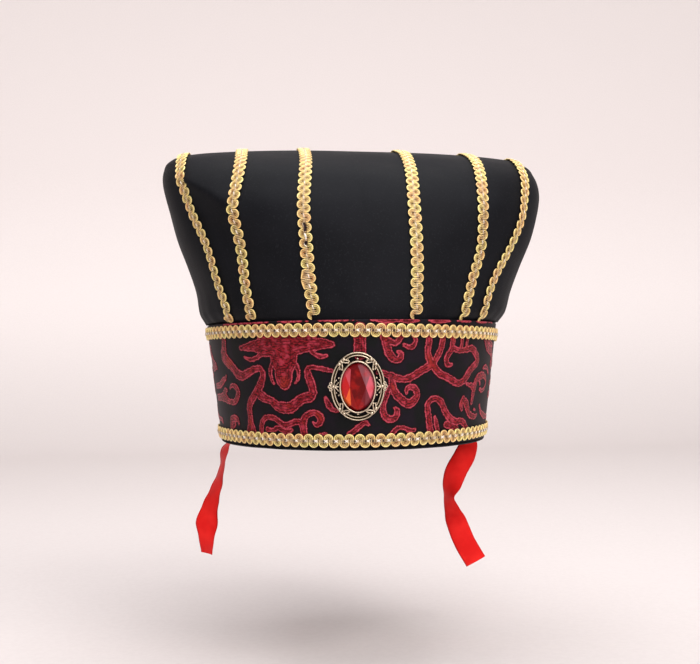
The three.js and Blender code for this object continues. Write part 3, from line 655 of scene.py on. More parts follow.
# %% [markdown]
# ## The gold braid
# This is a gimp braid. A flat bundle of three gold cords snakes from side to side, and each turn
# shows as a round scallop on the braid's edge. Silvery threads run along the middle and lock the
# turns: two that cross on the wide braids of the band, one on the braids of the crown. The snake
# is made from half ovals: a cord on the outside of one turn is on the inside of the next. The
# braid is first worked out flat, as distance along, distance across and height, and then laid on
# its route over the hat.

# %% Flat gimp braid
PITCH = 6.0
TURN_RADIUS = 1.38
TURN_STRETCH = 1.16
CORD_SPACING = 0.8
CORD_RADIUS = 0.38
TURN_CENTRE = 1.54
TURN_STEPS = 8
RUN_STEPS = 3
CORD_SIDES = 5
BRAID_FOOT = 0.45
BRAID_CREST = 0.3
RIM_LIFT = 0.3
OUTER_TURN = TURN_RADIUS + CORD_SPACING
INNER_TURN = TURN_RADIUS - CORD_SPACING
BRAID_HALF_WIDTH = TURN_CENTRE + OUTER_TURN + CORD_RADIUS
CORE_RISE = 0.22
THREAD_STEPS = 6
THREAD_WAVE = 0.12
THREAD_SIDES = 4
# The mark called rim on a middle thread, and the value that tells it from the cords' marks.
THREAD_RIM = 2
THREAD_TEST = 1.5
# Half widths of the raised core and of its mark, and how sharply the gaps in it are bounded.
CORE_HALF_WIDTH = 0.9
MARK_HALF_WIDTH = 0.95
GAP_SHARPNESS = 5


def snake(turns, offset):
    """One cord: half ovals round turn centres, left and right in turn, joined by straight runs.
    Their radius is the turn's plus the cord's offset on one side, and minus it on the other.
    rim is 0 where the cord is the innermost of its turn and 1 where it is the outermost."""
    turn = np.arange(turns)[:, None]
    side = 1.0 - 2.0 * (turn % 2)
    angle = np.linspace(0, math.pi, TURN_STEPS)[None, :]
    radius = TURN_RADIUS + offset * side + 0 * angle
    along = (turn + 0.5) * PITCH / 2 - TURN_STRETCH * radius * np.cos(angle)
    across = side * (TURN_CENTRE + radius * np.sin(angle))
    rim = (radius - INNER_TURN) / (OUTER_TURN - INNER_TURN)
    arcs = np.stack([along, across, rim], -1)
    share = np.linspace(0, 1, RUN_STEPS + 2)[None, 1:-1, None]
    is_last = turn[:, :, None] == turns - 1
    following = np.roll(arcs[:, :1], -1, 0) + is_last * (turns * PITCH / 2, 0, 0)
    runs = arcs[:, -1:] * (1 - share) + following * share
    return np.concatenate([arcs, runs], 1).reshape(-1, 3)


def braid_height(across, rim):
    """Highest along the middle, where the core lies, and higher on each turn's outermost cord."""
    core = CORE_RISE * np.exp(-((across / CORE_HALF_WIDTH) ** 2))
    crest = BRAID_CREST * (1 - (across / BRAID_HALF_WIDTH) ** 2)
    return BRAID_FOOT + crest + RIM_LIFT * rim + core


def flat_braid(length, threads, margin):
    """The cords and the middle threads, each as (along, across, height, radius, rim, tone). Each thread
    is given by its radius and its sway, and crosses the others once in half a pitch. Its tone is near 1
    at every other crossing, where it is painted bright as a highlight, and 0 at the ones between, where
    it is painted darker. margin is how far the threads stop short of a cut end."""
    turns = 2 * max(round(length / PITCH), 2)
    stretch = length / (turns * PITCH / 2)
    turn_tone = rng.random(turns)
    cords = []
    for offset in (-CORD_SPACING, 0.0, CORD_SPACING):
        along, across, rim = snake(turns, offset).T
        tone = np.repeat(turn_tone, TURN_STEPS + RUN_STEPS)
        height = braid_height(across, rim)
        cords.append((along * stretch, across, height, CORD_RADIUS + 0 * rim, rim, tone))
    along = np.linspace(margin, length - margin, turns * THREAD_STEPS, endpoint=False)
    phase = 2 * math.pi * along / (PITCH * stretch)
    # Painted highlight on the threads, its strength random from turn to turn.
    rubbed_and_lit = np.repeat(0.6 + 0.4 * rng.random(turns), THREAD_STEPS)
    top = BRAID_FOOT + BRAID_CREST + RIM_LIFT / 2 + CORE_RISE + CORD_RADIUS
    for i, (thick, sway) in enumerate(threads):
        start = 2 * math.pi * i / len(threads)
        height = top + THREAD_WAVE * np.cos(2 * (phase + start))
        shine = rubbed_and_lit * (0.5 + 0.5 * np.cos(phase))
        radius = thick * (0.6 + 0.7 * shine**2)
        rim = 0 * along + THREAD_RIM
        cords.append((along, sway * np.sin(phase + start), height, radius, rim, shine))
    return cords


def lay_braid(name, length, locate, closed, threads, gap_shade_depth, slack=None):
    """Each cord's point is the route's point plus across and height along the route's own axes. rim is
    2 on the middle threads, core is 1 in the braid's middle, and gap rises to the given depth of
    painted shade in the small openings there, one in each pitch, which the finish paints dark. slack
    moves the cords where the sewing has let go."""
    parts = []
    marks = []
    margin = 0 if closed else PITCH / 4
    for along, across, height, radius, rim, tone in flat_braid(length, threads, margin):
        core = np.exp(-((across / MARK_HALF_WIDTH) ** 2))
        # Painted shade: gap marks the openings between the turns, which the finish paints dark.
        between_turns = (0.5 - 0.5 * np.cos(2 * math.pi * along / PITCH)) ** GAP_SHARPNESS
        gap = gap_shade_depth * core * between_turns
        sides = THREAD_SIDES if rim[0] > THREAD_TEST else CORD_SIDES
        if slack is not None:
            across, height, radius, rim, tone, gap = slack(
                along, across, height, radius, rim, tone, gap
            )
        centre, sideways, out = locate(along)
        points = centre + sideways * across[:, None] + out * height[:, None]
        parts.append(tube(points, out, radius, sides, closed))
        marks.append(np.repeat(np.stack([rim, tone, core, gap]), sides, axis=1))
    points, faces = joined(parts)
    rim, tone, core, gap = np.concatenate(marks, 1)
    return mesh_piece(name, points, faces, rim=rim, tone=tone, core=core, gap=gap)


print(f"the braid is {2 * BRAID_HALF_WIDTH:.1f} mm wide")

# %% [markdown]
# Two braids go round the band, over its lower and its upper edge. Their route is the band's oval
# at one height, so a table of arc length against angle places each cord.

# %% Braid round the band
# Height of the braid's middle in front, its lift at the sides, and its lean to the right.
LOWER_BRAID = (6.1, 1.2, 0.4)
UPPER_BRAID = (69.9, -0.4, -1.3)
# Radius and sway of each middle thread, and how dark the openings between the turns are painted, as
# shade.
BAND_THREADS = [(0.27, 0.8), (0.27, 0.8)]
BAND_GAP_SHADE = 1.0


def band_braid(name, height, lift, lean):
    """A closed braid with out square to the flared band and sideways up its slope. Its height is
    height + lift * sin(angle)^2 + lean * sin(angle), because it was sewn on by eye."""
    angles, lengths = tape_table(height)
    half_width, half_depth = oval_at(height)
    whole = 2 * lengths[-1]

    def locate(along):
        """The place on the band at a distance round it, with the ways across and out."""
        angle = np.interp((along + whole / 2) % whole - whole / 2, lengths, angles)
        level_at = height + lift * np.sin(angle) ** 2 + lean * np.sin(angle)
        grow = BAND_FLARE * (level_at - height)
        x = (half_width + grow) * np.sin(angle)
        centre = np.stack([x, -(half_depth + grow) * np.cos(angle), level_at], -1)
        level = np.stack([np.sin(angle) / half_width, -np.cos(angle) / half_depth, 0 * angle], -1)
        out = unit(unit(level) + (0, 0, -BAND_FLARE))
        travel = np.stack([half_width * np.cos(angle), half_depth * np.sin(angle), 0 * angle], -1)
        return centre + PIECE_GAP * out, np.cross(out, unit(travel)), out

    return lay_braid(name, whole, locate, True, BAND_THREADS, BAND_GAP_SHADE)


lower_braid = band_braid("lower_braid_gimp", *LOWER_BRAID)
upper_braid = band_braid("upper_braid_gimp", *UPPER_BRAID)
rounds = [2 * tape_table(height)[1][-1] for height, *_ in (LOWER_BRAID, UPPER_BRAID)]
print("the braids are", " and ".join(f"{length:.0f} mm" for length in rounds), "round")

# %% [markdown]
# Six more braids run over the crown's panel seams. Each starts at the band in front, climbs the
# crown, crosses the ridge and comes down the back. Its distance from the middle plane is given at
# five heights, and the crown's own form does the rest.

# %% Braid over the crown
TRIM_HEIGHTS = np.array([76.0, 98.0, 120.0, 145.0, 180.0])
TRIM_FOOT_HEIGHT = 77.6
TRIM_GAP = 0.3
TRIM_THREADS = [(0.2, 0.3)]
# How dark the openings between the turns are painted, as shade.
TRIM_GAP_SHADE = 0.45
RIDGE_ROW = 8
ROUTE_STEPS = 400
SEARCH_STEPS = 6001
# Distance from the middle plane at the five heights.
TRIMS = {
    "trim_far_left": (-78.5, -85.4, -92.5, -103.9, -110.3),
    "trim_left": (-65.4, -69.9, -73.8, -75.9, -72.2),
    "trim_mid_left": (-29.8, -32.6, -34.2, -35.3, -32.3),
    "trim_mid_right": (28.5, 29.3, 29.8, 29.7, 31.5),
    "trim_right": (59.4, 64, 71.3, 73, 76.5),
    "trim_far_right": (73, 79.2, 91.7, 103.6, 109.1),
}


def trim_route(reaches):
    """Angles and rows up the front and down the back. On a section the angle's sine and cosine are
    in the ratio of u to (1 - u^n)^(1/n), where u is the distance across over the half width."""
    rows = np.linspace(1, TOP_ROW, SEARCH_STEPS)
    height, half_width, _, shift, _ = section_at(rows)
    foot = rows[np.argmax(height > TRIM_FOOT_HEIGHT)]
    narrow = (rows > RIDGE_ROW) & (half_width < abs(reaches[-1] - shift))
    top = rows[np.argmax(narrow)]
    row = foot + (top - foot) * np.sin(np.linspace(0, math.pi / 2, ROUTE_STEPS))
    height, half_width, _, shift, n = section_at(row)
    place = np.interp(height, TRIM_HEIGHTS, np.arange(len(TRIM_HEIGHTS)))
    reach = curve_between(np.array(reaches, float)[:, None], place)[:, 0] - shift
    share = np.minimum(np.abs(reach) / half_width, 1)
    angle = np.sign(reach) * np.arctan2(share, (1 - share**n) ** (1 / n))
    back = np.sign(angle[-2::-1]) * math.pi - angle[-2::-1]
    return np.concatenate([angle, back]), np.concatenate([row, row[-2::-1]])


def beyond_ends(along, lengths, field):
    """Values along the route, going straight on past both its ends."""
    inside = np.stack([np.interp(along, lengths, field[:, k]) for k in range(3)], -1)
    past = along - np.clip(along, lengths[0], lengths[-1])
    near_start = (field[1] - field[0]) / (lengths[1] - lengths[0])
    near_end = (field[-1] - field[-2]) / (lengths[-1] - lengths[-2])
    return inside + past[:, None] * np.where(past[:, None] < 0, near_start, near_end)


LOOSE_TRIM = "trim_mid_left"
# Millimetres up that braid: where the long loop starts, and its length.
LOOP_START = 17.0
LOOP_LENGTH = 11.0
# Distances from the braid's middle: the loop's inmost cord, the bundle's width, and its bow.
LOOP_EDGE = TURN_CENTRE + 0.6
LOOP_SPREAD = 1.2
LOOP_BOW = 1.1
# Middle and half length of each slit and of the loose white plies, up the same braid.
SLITS = [(53.0, 3.4), (43.5, 1.6)]
LOOSE_PLIES = (47.3, 2.2)
SLIT_HALF_WIDTH = 1.4
SLIT_DEPTH = 0.5
SLIT_SIDE = 0.8
PLIES_SWELL = 2.4


def flat_top(along, middle, half_length):
    """exp(-((along - middle) / half length)^4), near 1 inside the stretch and 0 outside it."""
    return np.exp(-(((along - middle) / half_length) ** 4))


def loose_stretch(along, across, height, radius, rim, tone, gap):
    """On one braid the sewing has let go. Low down the left turns have run together in one long loop.
    Further up the cords have parted in the middle in two slits, where they sink and are painted dark as
    shade, with the white thread at their side. Between the slits the thread's plies lie loose, thicker
    and bright, at their full painted highlight."""
    thread = rim > THREAD_TEST
    loop = np.clip((along - LOOP_START) / LOOP_LENGTH, 0, 1)
    edge = LOOP_EDGE + LOOP_SPREAD * np.clip(rim, 0, 1) + LOOP_BOW * np.sin(math.pi * loop)
    loose = (loop > 0) & (loop < 1) & (across > 0.5) & ~thread
    across = np.where(loose, np.maximum(across, edge), across)
    slit = sum(flat_top(along, *place) for place in SLITS) * (np.abs(across) < SLIT_HALF_WIDTH)
    patch = flat_top(along, *LOOSE_PLIES) * thread
    # Painted shade: in the slits the cords' rim drops below zero, and the finish paints them dark.
    rim = np.where(thread, rim, rim - 2 * slit)
    height = height - slit * np.where(thread, 0, SLIT_DEPTH)
    across = across + SLIT_SIDE * slit * thread
    radius = radius * (1 + PLIES_SWELL * patch)
    return across, height, radius, rim, np.maximum(tone, patch), gap * (1 - patch)


def crown_braid(name, reaches):
    """A braid along the route, with out along the crown's normal."""
    angle, row = trim_route(reaches)
    route = crown_point(angle, row)
    lengths = lengths_along(route)
    normals = crown_normal(angle, row)
    travel = steps_along(route)

    def locate(along):
        """The place on the crown at a distance along the route, with the ways across and out."""
        out = unit(beyond_ends(along, lengths, normals))
        axis = beyond_ends(along, lengths, travel)
        centre = beyond_ends(along, lengths, route)
        return centre + TRIM_GAP * out, unit(np.cross(out, axis)), out

    slack = loose_stretch if name == LOOSE_TRIM else None
    whole = lengths[-1]
    print(f"{name}: {whole:.0f} mm")
    return lay_braid(f"{name}_gimp", whole, locate, False, TRIM_THREADS, TRIM_GAP_SHADE, slack)


trims = {name: crown_braid(name, reaches) for name, reaches in TRIMS.items()}
print("trim faces:", sum(len(trim.data.polygons) for trim in trims.values()))

# %% [markdown]
# ## The brooch
# The brooch is cast openwork. An oval rail of two wires stands round a bezel, and six joints tie
# them together: a trefoil at each side and a crossed strap at each corner. It is modelled flat, as
# across, up and out, and then set on the slope of the band. All its metal is one soldered piece.

# %% The brooch's place and its parts
BROOCH_X = -5.7
BROOCH_HEIGHT = 37.7
RAIL_OUTER = (15.2, 19.5)
RAIL_INNER = (13.6, 17.9)
RAIL_RADIUS = 0.42
RAIL_LIFT = 1.25
BEZEL_OVAL = (10.8, 15.4)
SIDE_JOINTS = (0.0, 180.0)
CORNER_JOINTS = (50.0, 130.0, 230.0, 310.0)


def brooch_axes():
    """Across, up the band's slope and out from it, and the brooch's middle on the band."""
    half_width, half_depth = oval_at(BROOCH_HEIGHT)
    angle = math.asin(BROOCH_X / half_width)
    across = unit(np.array([half_width * math.cos(angle), half_depth * math.sin(angle), 0]))
    out = unit(np.array([across[1], -across[0], -BAND_FLARE]))
    up = np.cross(out, across)
    centre = np.array([BROOCH_X, -half_depth * math.cos(angle), BROOCH_HEIGHT]) + PIECE_GAP * out
    return np.stack([across, up, out]), centre


BROOCH_AXES, BROOCH_CENTRE = brooch_axes()
OUTWARD = np.array([0.0, 0.0, 1.0])


def on_band(points):
    """From across, up and out to the hat's own axes."""
    return points @ BROOCH_AXES + BROOCH_CENTRE


def oval_wire(half_sizes, radius, lift, count=96, sides=8):
    """A closed round wire along an oval."""
    angle = even_turns(count)
    across = half_sizes[0] * np.cos(angle)
    path = place_points(across, half_sizes[1] * np.sin(angle), lift)
    return tube(path, np.broadcast_to(OUTWARD, path.shape), radius, sides, closed=True)


def bent_wire(points, radius, sides=6, count=14):
    """A short wire on a smooth curve through a few points."""
    table = np.array(points, float)
    path = curve_between(table, np.linspace(0, len(table) - 1, count))
    return tube(path, np.broadcast_to(OUTWARD, path.shape), radius, sides)


def bead(centre, radius, rings=7, sides=10):
    """A small ball: rings of latitude closed by a point at each pole."""
    tilt = np.linspace(0, math.pi, rings + 2)[1:-1][:, None]
    turn = even_turns(sides)
    across = np.sin(tilt) * np.cos(turn)
    ring = place_points(across, np.sin(tilt) * np.sin(turn), np.cos(tilt))
    points = np.concatenate([ring.reshape(-1, 3), [[0, 0, 1], [0, 0, -1]]]) * radius + centre
    column = np.arange(sides)
    after = (column + 1) % sides
    last = (rings - 1) * sides
    top = np.stack([column, after, np.full(sides, rings * sides)], -1)
    bottom = np.stack([last + after, last + column, np.full(sides, rings * sides + 1)], -1)
    return points, [grid_faces(rings, sides)[:, ::-1], top, bottom]


def swept_oval(half_sizes, profile, count=96):
    """A profile of (offset, height) carried round an oval and closed on itself."""
    angle = even_turns(count)
    offset = np.array(profile, float)[:, :1]
    height = np.array(profile, float)[:, 1:]
    x = (half_sizes[0] + offset) * np.cos(angle)
    y = (half_sizes[1] + offset) * np.sin(angle)
    points = place_points(x, y, height).reshape(-1, 3)
    return points, [grid_faces(len(profile), count, wrap_rows=True)]


def on_oval(half_sizes, degrees, lift):
    """The point of an oval at an angle, lifted off the plate."""
    angle = math.radians(degrees)
    return np.array([half_sizes[0] * math.cos(angle), half_sizes[1] * math.sin(angle), lift])


print("brooch middle:", np.round(BROOCH_CENTRE, 1))

# %% The rail, the bezel and the six joints
RAIL_PROFILE = [(-2.2, 0.0), (0.3, 0.0), (0.3, 0.75), (-2.2, 0.75)]
BEZEL_PROFILE = [
    (-0.85, 0.0), (-0.1, 0.0), (-0.1, 1.2), (-0.2, 3.4), (-0.25, 3.9), (-0.4, 4.2), (-0.65, 4.3),
    (-0.95, 4.2), (-1.15, 3.95), (-1.15, 3.75), (-1.0, 3.7), (-0.85, 3.5),
]
BACK_PROFILE = [(-9.9, 0.0), (-0.5, 0.0), (-0.5, 0.6), (-9.9, 0.6)]
# Degrees from a corner joint's middle to each of its two beads.
STRAP_TURN = 6.5
# A leaf of the trefoil is a ring of this radius and wire.
LEAF_OVAL = (0.72, 0.72)
LEAF_WIRE = 0.36
# The beads at the bezel's foot, with a space at each corner joint.
LOBE_RADIUS = 0.66
LOBE_ANGLES = (18, 38, 64, 90, 116, 142, 162, 198, 218, 244, 270, 296, 322, 342)


def corner_joint(degrees):
    """A crossed strap: two beads on the rail, a bar between them and a V of wires to the bezel,
    with a curl that ends in a small bead at each side. Lifts are in millimetres off the plate."""
    rail = [0.5 * (a + b) for a, b in zip(RAIL_OUTER, RAIL_INNER)]
    parts = []
    for turn in (-STRAP_TURN, STRAP_TURN):
        knot = on_oval(rail, degrees + turn, RAIL_LIFT + 0.25)
        foot = on_oval(BEZEL_OVAL, degrees + 1.9 * turn, 1.9)
        bend = 0.45 * knot + 0.55 * on_oval(BEZEL_OVAL, degrees + 0.5 * turn, 1.8)
        parts.append(bead(knot, 1.1))
        parts.append(bent_wire([on_oval(rail, degrees, RAIL_LIFT), bend, foot], 0.44))
        curl = on_oval([half - 1.9 for half in rail], degrees + 2.1 * turn, 1.1)
        parts.append(bent_wire([knot, 0.5 * (knot + curl) + (0, 0, 0.2), curl], 0.42))
        parts.append(bead(curl, 0.62))
    strap_outside = on_oval(RAIL_OUTER, degrees, RAIL_LIFT + 0.45)
    strap_inside = on_oval(RAIL_INNER, degrees, RAIL_LIFT + 0.5)
    parts.append(bent_wire([strap_outside, strap_inside], 0.75))
    return parts


def side_joint(degrees):
    """A trefoil: three small rings outside the rail, and inside it a fan of three wires to the
    bezel, between two curls that end in small beads."""
    way = math.cos(math.radians(degrees))
    parts = []
    for out, up in ((0.25, 1.75), (1.05, 0.0), (0.25, -1.75)):
        ring, faces = oval_wire(LEAF_OVAL, LEAF_WIRE, RAIL_LIFT + 0.3, 14, 6)
        parts.append((ring + (way * (RAIL_OUTER[0] + out), up, 0), faces))
    knot = np.array([way * 14.1, 0, RAIL_LIFT + 0.35])
    parts.append(bead(knot, 1.0))
    for up in (2.6, 0.0, -2.6):
        foot = np.array([way * 10.9, up, 1.8])
        parts.append(bent_wire([knot, 0.5 * (knot + foot) + (0, -0.18 * up, 0.2), foot], 0.4))
    for up in (3.6, -3.6):
        curl = np.array([way * 12.3, up, 1.2])
        parts.append(bent_wire([knot, (way * 13.1, 0.75 * up, 1.4), curl], 0.34))
        parts.append(bead(curl, 0.52))
    return parts


def brooch_setting():
    """All the metal, joined in one piece. worn goes from 0 at each part's lowest point to 1 at its
    highest, and is 0 all over the rail's plate, which lies in the groove between the wires. The finish
    paints low places dark, as patina and as shade, and high places pale, as rubbing and as a highlight."""
    parts = [
        swept_oval(RAIL_OUTER, RAIL_PROFILE),
        oval_wire(RAIL_OUTER, RAIL_RADIUS, RAIL_LIFT),
        oval_wire(RAIL_INNER, RAIL_RADIUS * 0.9, RAIL_LIFT - 0.1),
        swept_oval(BEZEL_OVAL, BEZEL_PROFILE),
        swept_oval(BEZEL_OVAL, BACK_PROFILE),
    ]
    lobe_oval = [half + 0.55 for half in BEZEL_OVAL]
    parts += [bead(on_oval(lobe_oval, lobe, 1.5), LOBE_RADIUS) for lobe in LOBE_ANGLES]
    for degrees in CORNER_JOINTS:
        parts += corner_joint(degrees)
    for degrees in SIDE_JOINTS:
        parts += side_joint(degrees)
    worn = [(skin[:, 2] - skin[:, 2].min()) / np.ptp(skin[:, 2]) for skin, _ in parts]
    worn[0] = 0 * worn[0]
    points, faces = joined(parts)
    return mesh_piece("brooch_setting_cast", on_band(points), faces, worn=np.concatenate(worn))


setting = brooch_setting()
print("setting faces:", len(setting.data.polygons))

# %% [markdown]
# ## The stone
# The stone is a pressed red glass oval with foil behind it. Its table is a tall lozenge, and flat
# facets fall from it to the girdle. A cut stone is convex, so it is enough to place its corners: the
# convex hull gives the flat facets between them. Flat shading keeps their edges sharp. Foiled glass
# sends light back differently through each facet, so every facet also gets a number for its place round
# the stone, from which the finish takes a red painted on that facet for the light it sends back.

# %% Cut the stone
GIRDLE = (9.6, 13.8)
GIRDLE_CORNERS = 20
# Corners of the table and of the facets round it, as (across, up, out), for the upper right
# quarter. They are mirrored to the other quarters.
TABLE_CORNERS = [(4.6, 0.0, 5.3), (0.0, 12.6, 5.3)]
FACET_CORNERS = [(6.9, 6.6, 4.2), (4.0, 10.4, 4.66)]
# Share of the girdle's size and height of its three rings: the back, the widest and the top one.
GIRDLE_RINGS = [(0.93, 0.95), (1.0, 2.5), (1.0, 2.9)]
TABLE_HEIGHT = 5.1
TABLE_CODE = 0.0
FIRST_CODE = 0.1
FLAT_ANGLE = math.radians(2)


def stone_corners():
    """The girdle's three rings, and the facets' corners mirrored to four quarters."""
    turn = even_turns(GIRDLE_CORNERS)
    oval = place_points(GIRDLE[0] * np.cos(turn), GIRDLE[1] * np.sin(turn), 0)
    girdle = [oval * share + (0, 0, out) for share, out in GIRDLE_RINGS]
    mirrors = np.array([(1, 1, 1), (-1, 1, 1), (1, -1, 1), (-1, -1, 1)])
    facets = (np.array(TABLE_CORNERS + FACET_CORNERS)[None] * mirrors[:, None]).reshape(-1, 3)
    return np.concatenate([*girdle, facets])


def facet_code(middle):
    """0 on the table, and elsewhere the facet's turn round the stone, from 0.1 at the left, by way
    of the top and the right, to 1. The oval counts as a circle for the turn."""
    turn = (np.arctan2(-middle[:, 1] / GIRDLE[1], -middle[:, 0] / GIRDLE[0]) / (2 * math.pi)) % 1
    code = FIRST_CODE + (1 - FIRST_CODE) * (1 - turn)
    return np.where(middle[:, 2] > TABLE_HEIGHT, TABLE_CODE, code)


def convex_piece(name, corners):
    """The convex hull of the corners, each flat facet with its own code."""
    made = mesh_piece(name, corners, np.zeros((0, 3), int), smooth=False)
    shell = bmesh.new()
    shell.from_mesh(made.data)
    hull = bmesh.ops.convex_hull(shell, input=shell.verts)
    inside = {part for part in hull["geom_interior"] if isinstance(part, bmesh.types.BMVert)}
    bmesh.ops.delete(shell, geom=list(inside), context="VERTS")
    bmesh.ops.dissolve_limit(shell, angle_limit=FLAT_ANGLE, verts=shell.verts, edges=shell.edges)
    bmesh.ops.recalc_face_normals(shell, faces=shell.faces)
    shell.to_mesh(made.data)
    middles = np.array([face.calc_center_median() for face in shell.faces])
    shell.free()
    facet = made.data.attributes.new("facet", "FLOAT", "FACE")
    facet.data.foreach_set("value", facet_code(middles / MM))
    made.data.polygons.foreach_set("use_smooth", np.zeros(len(made.data.polygons), bool))
    made.data.vertices.foreach_set("co", (on_band(mesh_points(made)) * MM).ravel())
    made.data.update()
    return made


def mesh_points(piece):
    """A mesh's points in millimetres."""
    points = np.zeros(3 * len(piece.data.vertices))
    piece.data.vertices.foreach_get("co", points)
    return points.reshape(-1, 3) / MM


stone = convex_piece("brooch_stone_cut", stone_corners())
print("stone facets:", len(stone.data.polygons))

# %% [markdown]
# ## The ribbons
# Each ribbon is 15 mm satin, sewn to the binding inside the rim and hanging free. It turns on
# itself as it falls, so its width shows at one height and its edge at the next. A table gives its
# middle and the way its width points at each height. The surface is the middle line plus a share
# of the width, slightly cupped across, with a second skin behind it for the cloth's thickness.

# %% Hang the ribbons
RIBBON_WIDTH = 15.0
RIBBON_CLOTH = 0.3
RIBBON_ROWS = 120
RIBBON_COLUMNS = 13
CUPPING = 0.55
RIPPLE = 0.18
# How far below its sewn end a ribbon is free to cup.
FREE_LENGTH = 25.0
# Columns: height, x, y, facing of the width in degrees from +X.
RIBBON_LEFT = [
    (9, -82.5, 16.7, 81), (0, -81.6, 16.7, 81), (-7, -86.0, 16.9, 71), (-19, -88.1, 17, 79),
    (-31, -91.4, 17, 64), (-42, -95.2, 17, 50), (-53, -98.2, 17, 27), (-61, -99.0, 17, -22),
    (-69, -99.2, 17, -46), (-78, -99.0, 17, -57),
]
RIBBON_RIGHT = [
    (9, 82.5, 16.7, 99), (0, 81.5, 16.7, 101), (-6, 82.9, 16.8, 130), (-15, 79.8, 17, 156),
    (-25, 74.0, 17, 165), (-34, 70.8, 17, 142), (-43, 68.5, 17, 109), (-52, 70.6, 17, 128),
    (-62, 74.0, 17, 158), (-75, 79.2, 17, 168), (-88.5, 86.9, 17, 170),
]


def ribbon(name, stations):
    """middle(t) + share * half width * across(t) + cupping * (1 - share^2) * out(t), with a small
    ripple of the edges, and a front and a back skin half the cloth's thickness to each side."""
    table = curve_between(np.array(stations, float), np.linspace(0, len(stations) - 1, RIBBON_ROWS))
    middle = table[:, [1, 2, 0]]
    travel = steps_along(middle)
    facing = np.radians(table[:, 3])
    across = np.stack([np.cos(facing), np.sin(facing), 0 * facing], -1)
    across = unit(across - travel * (across * travel).sum(-1, keepdims=True))
    out = np.cross(across, travel)
    lengths = lengths_along(middle)
    share = np.linspace(-1, 1, RIBBON_COLUMNS)[None, :, None]
    free = np.clip(lengths / FREE_LENGTH, 0, 1)[:, None, None]
    ripple = RIPPLE * np.sin(lengths * 0.55)[:, None, None] * share * free
    bow = CUPPING * free * (1 - share**2) + ripple
    sheet = middle[:, None] + share * (RIBBON_WIDTH / 2) * across[:, None] + bow * out[:, None]
    skins = [sheet + side * RIBBON_CLOTH / 2 * out[:, None] for side in (-1, 1)]
    loop = np.concatenate([skins[0], skins[1][:, ::-1]], 1)
    columns = 2 * RIBBON_COLUMNS
    column = np.arange(RIBBON_COLUMNS - 1)
    pair = columns - 1 - column
    last = (RIBBON_ROWS - 1) * columns
    start_cap = np.stack([column, column + 1, pair - 1, pair], -1)
    faces = [grid_faces(RIBBON_ROWS, columns)[:, ::-1], start_cap, last + start_cap[:, ::-1]]
    width_place = np.concatenate([share[0, :, 0], share[0, ::-1, 0]]) * RIBBON_WIDTH / 2
    uv = cloth_uv(width_place[None], lengths[:, None])
    return mesh_piece(name, loop.reshape(-1, 3), faces, uv=uv), lengths[-1]


ribbon_left, left_length = ribbon("ribbon_left_satin", RIBBON_LEFT)
ribbon_right, right_length = ribbon("ribbon_right_satin", RIBBON_RIGHT)
print(f"ribbons: {left_length:.0f} mm and {right_length:.0f} mm long")

# %% [markdown]
# ## Materials
# Every finish is made of nodes. A small helper makes a material and hands back its shader, and a
# second one adds a node and links its inputs, so that each recipe below reads as a short list.


# %% Helpers for materials
# A wave texture of scale 1 repeats after about this many metres.
WAVE_LENGTH = 0.3


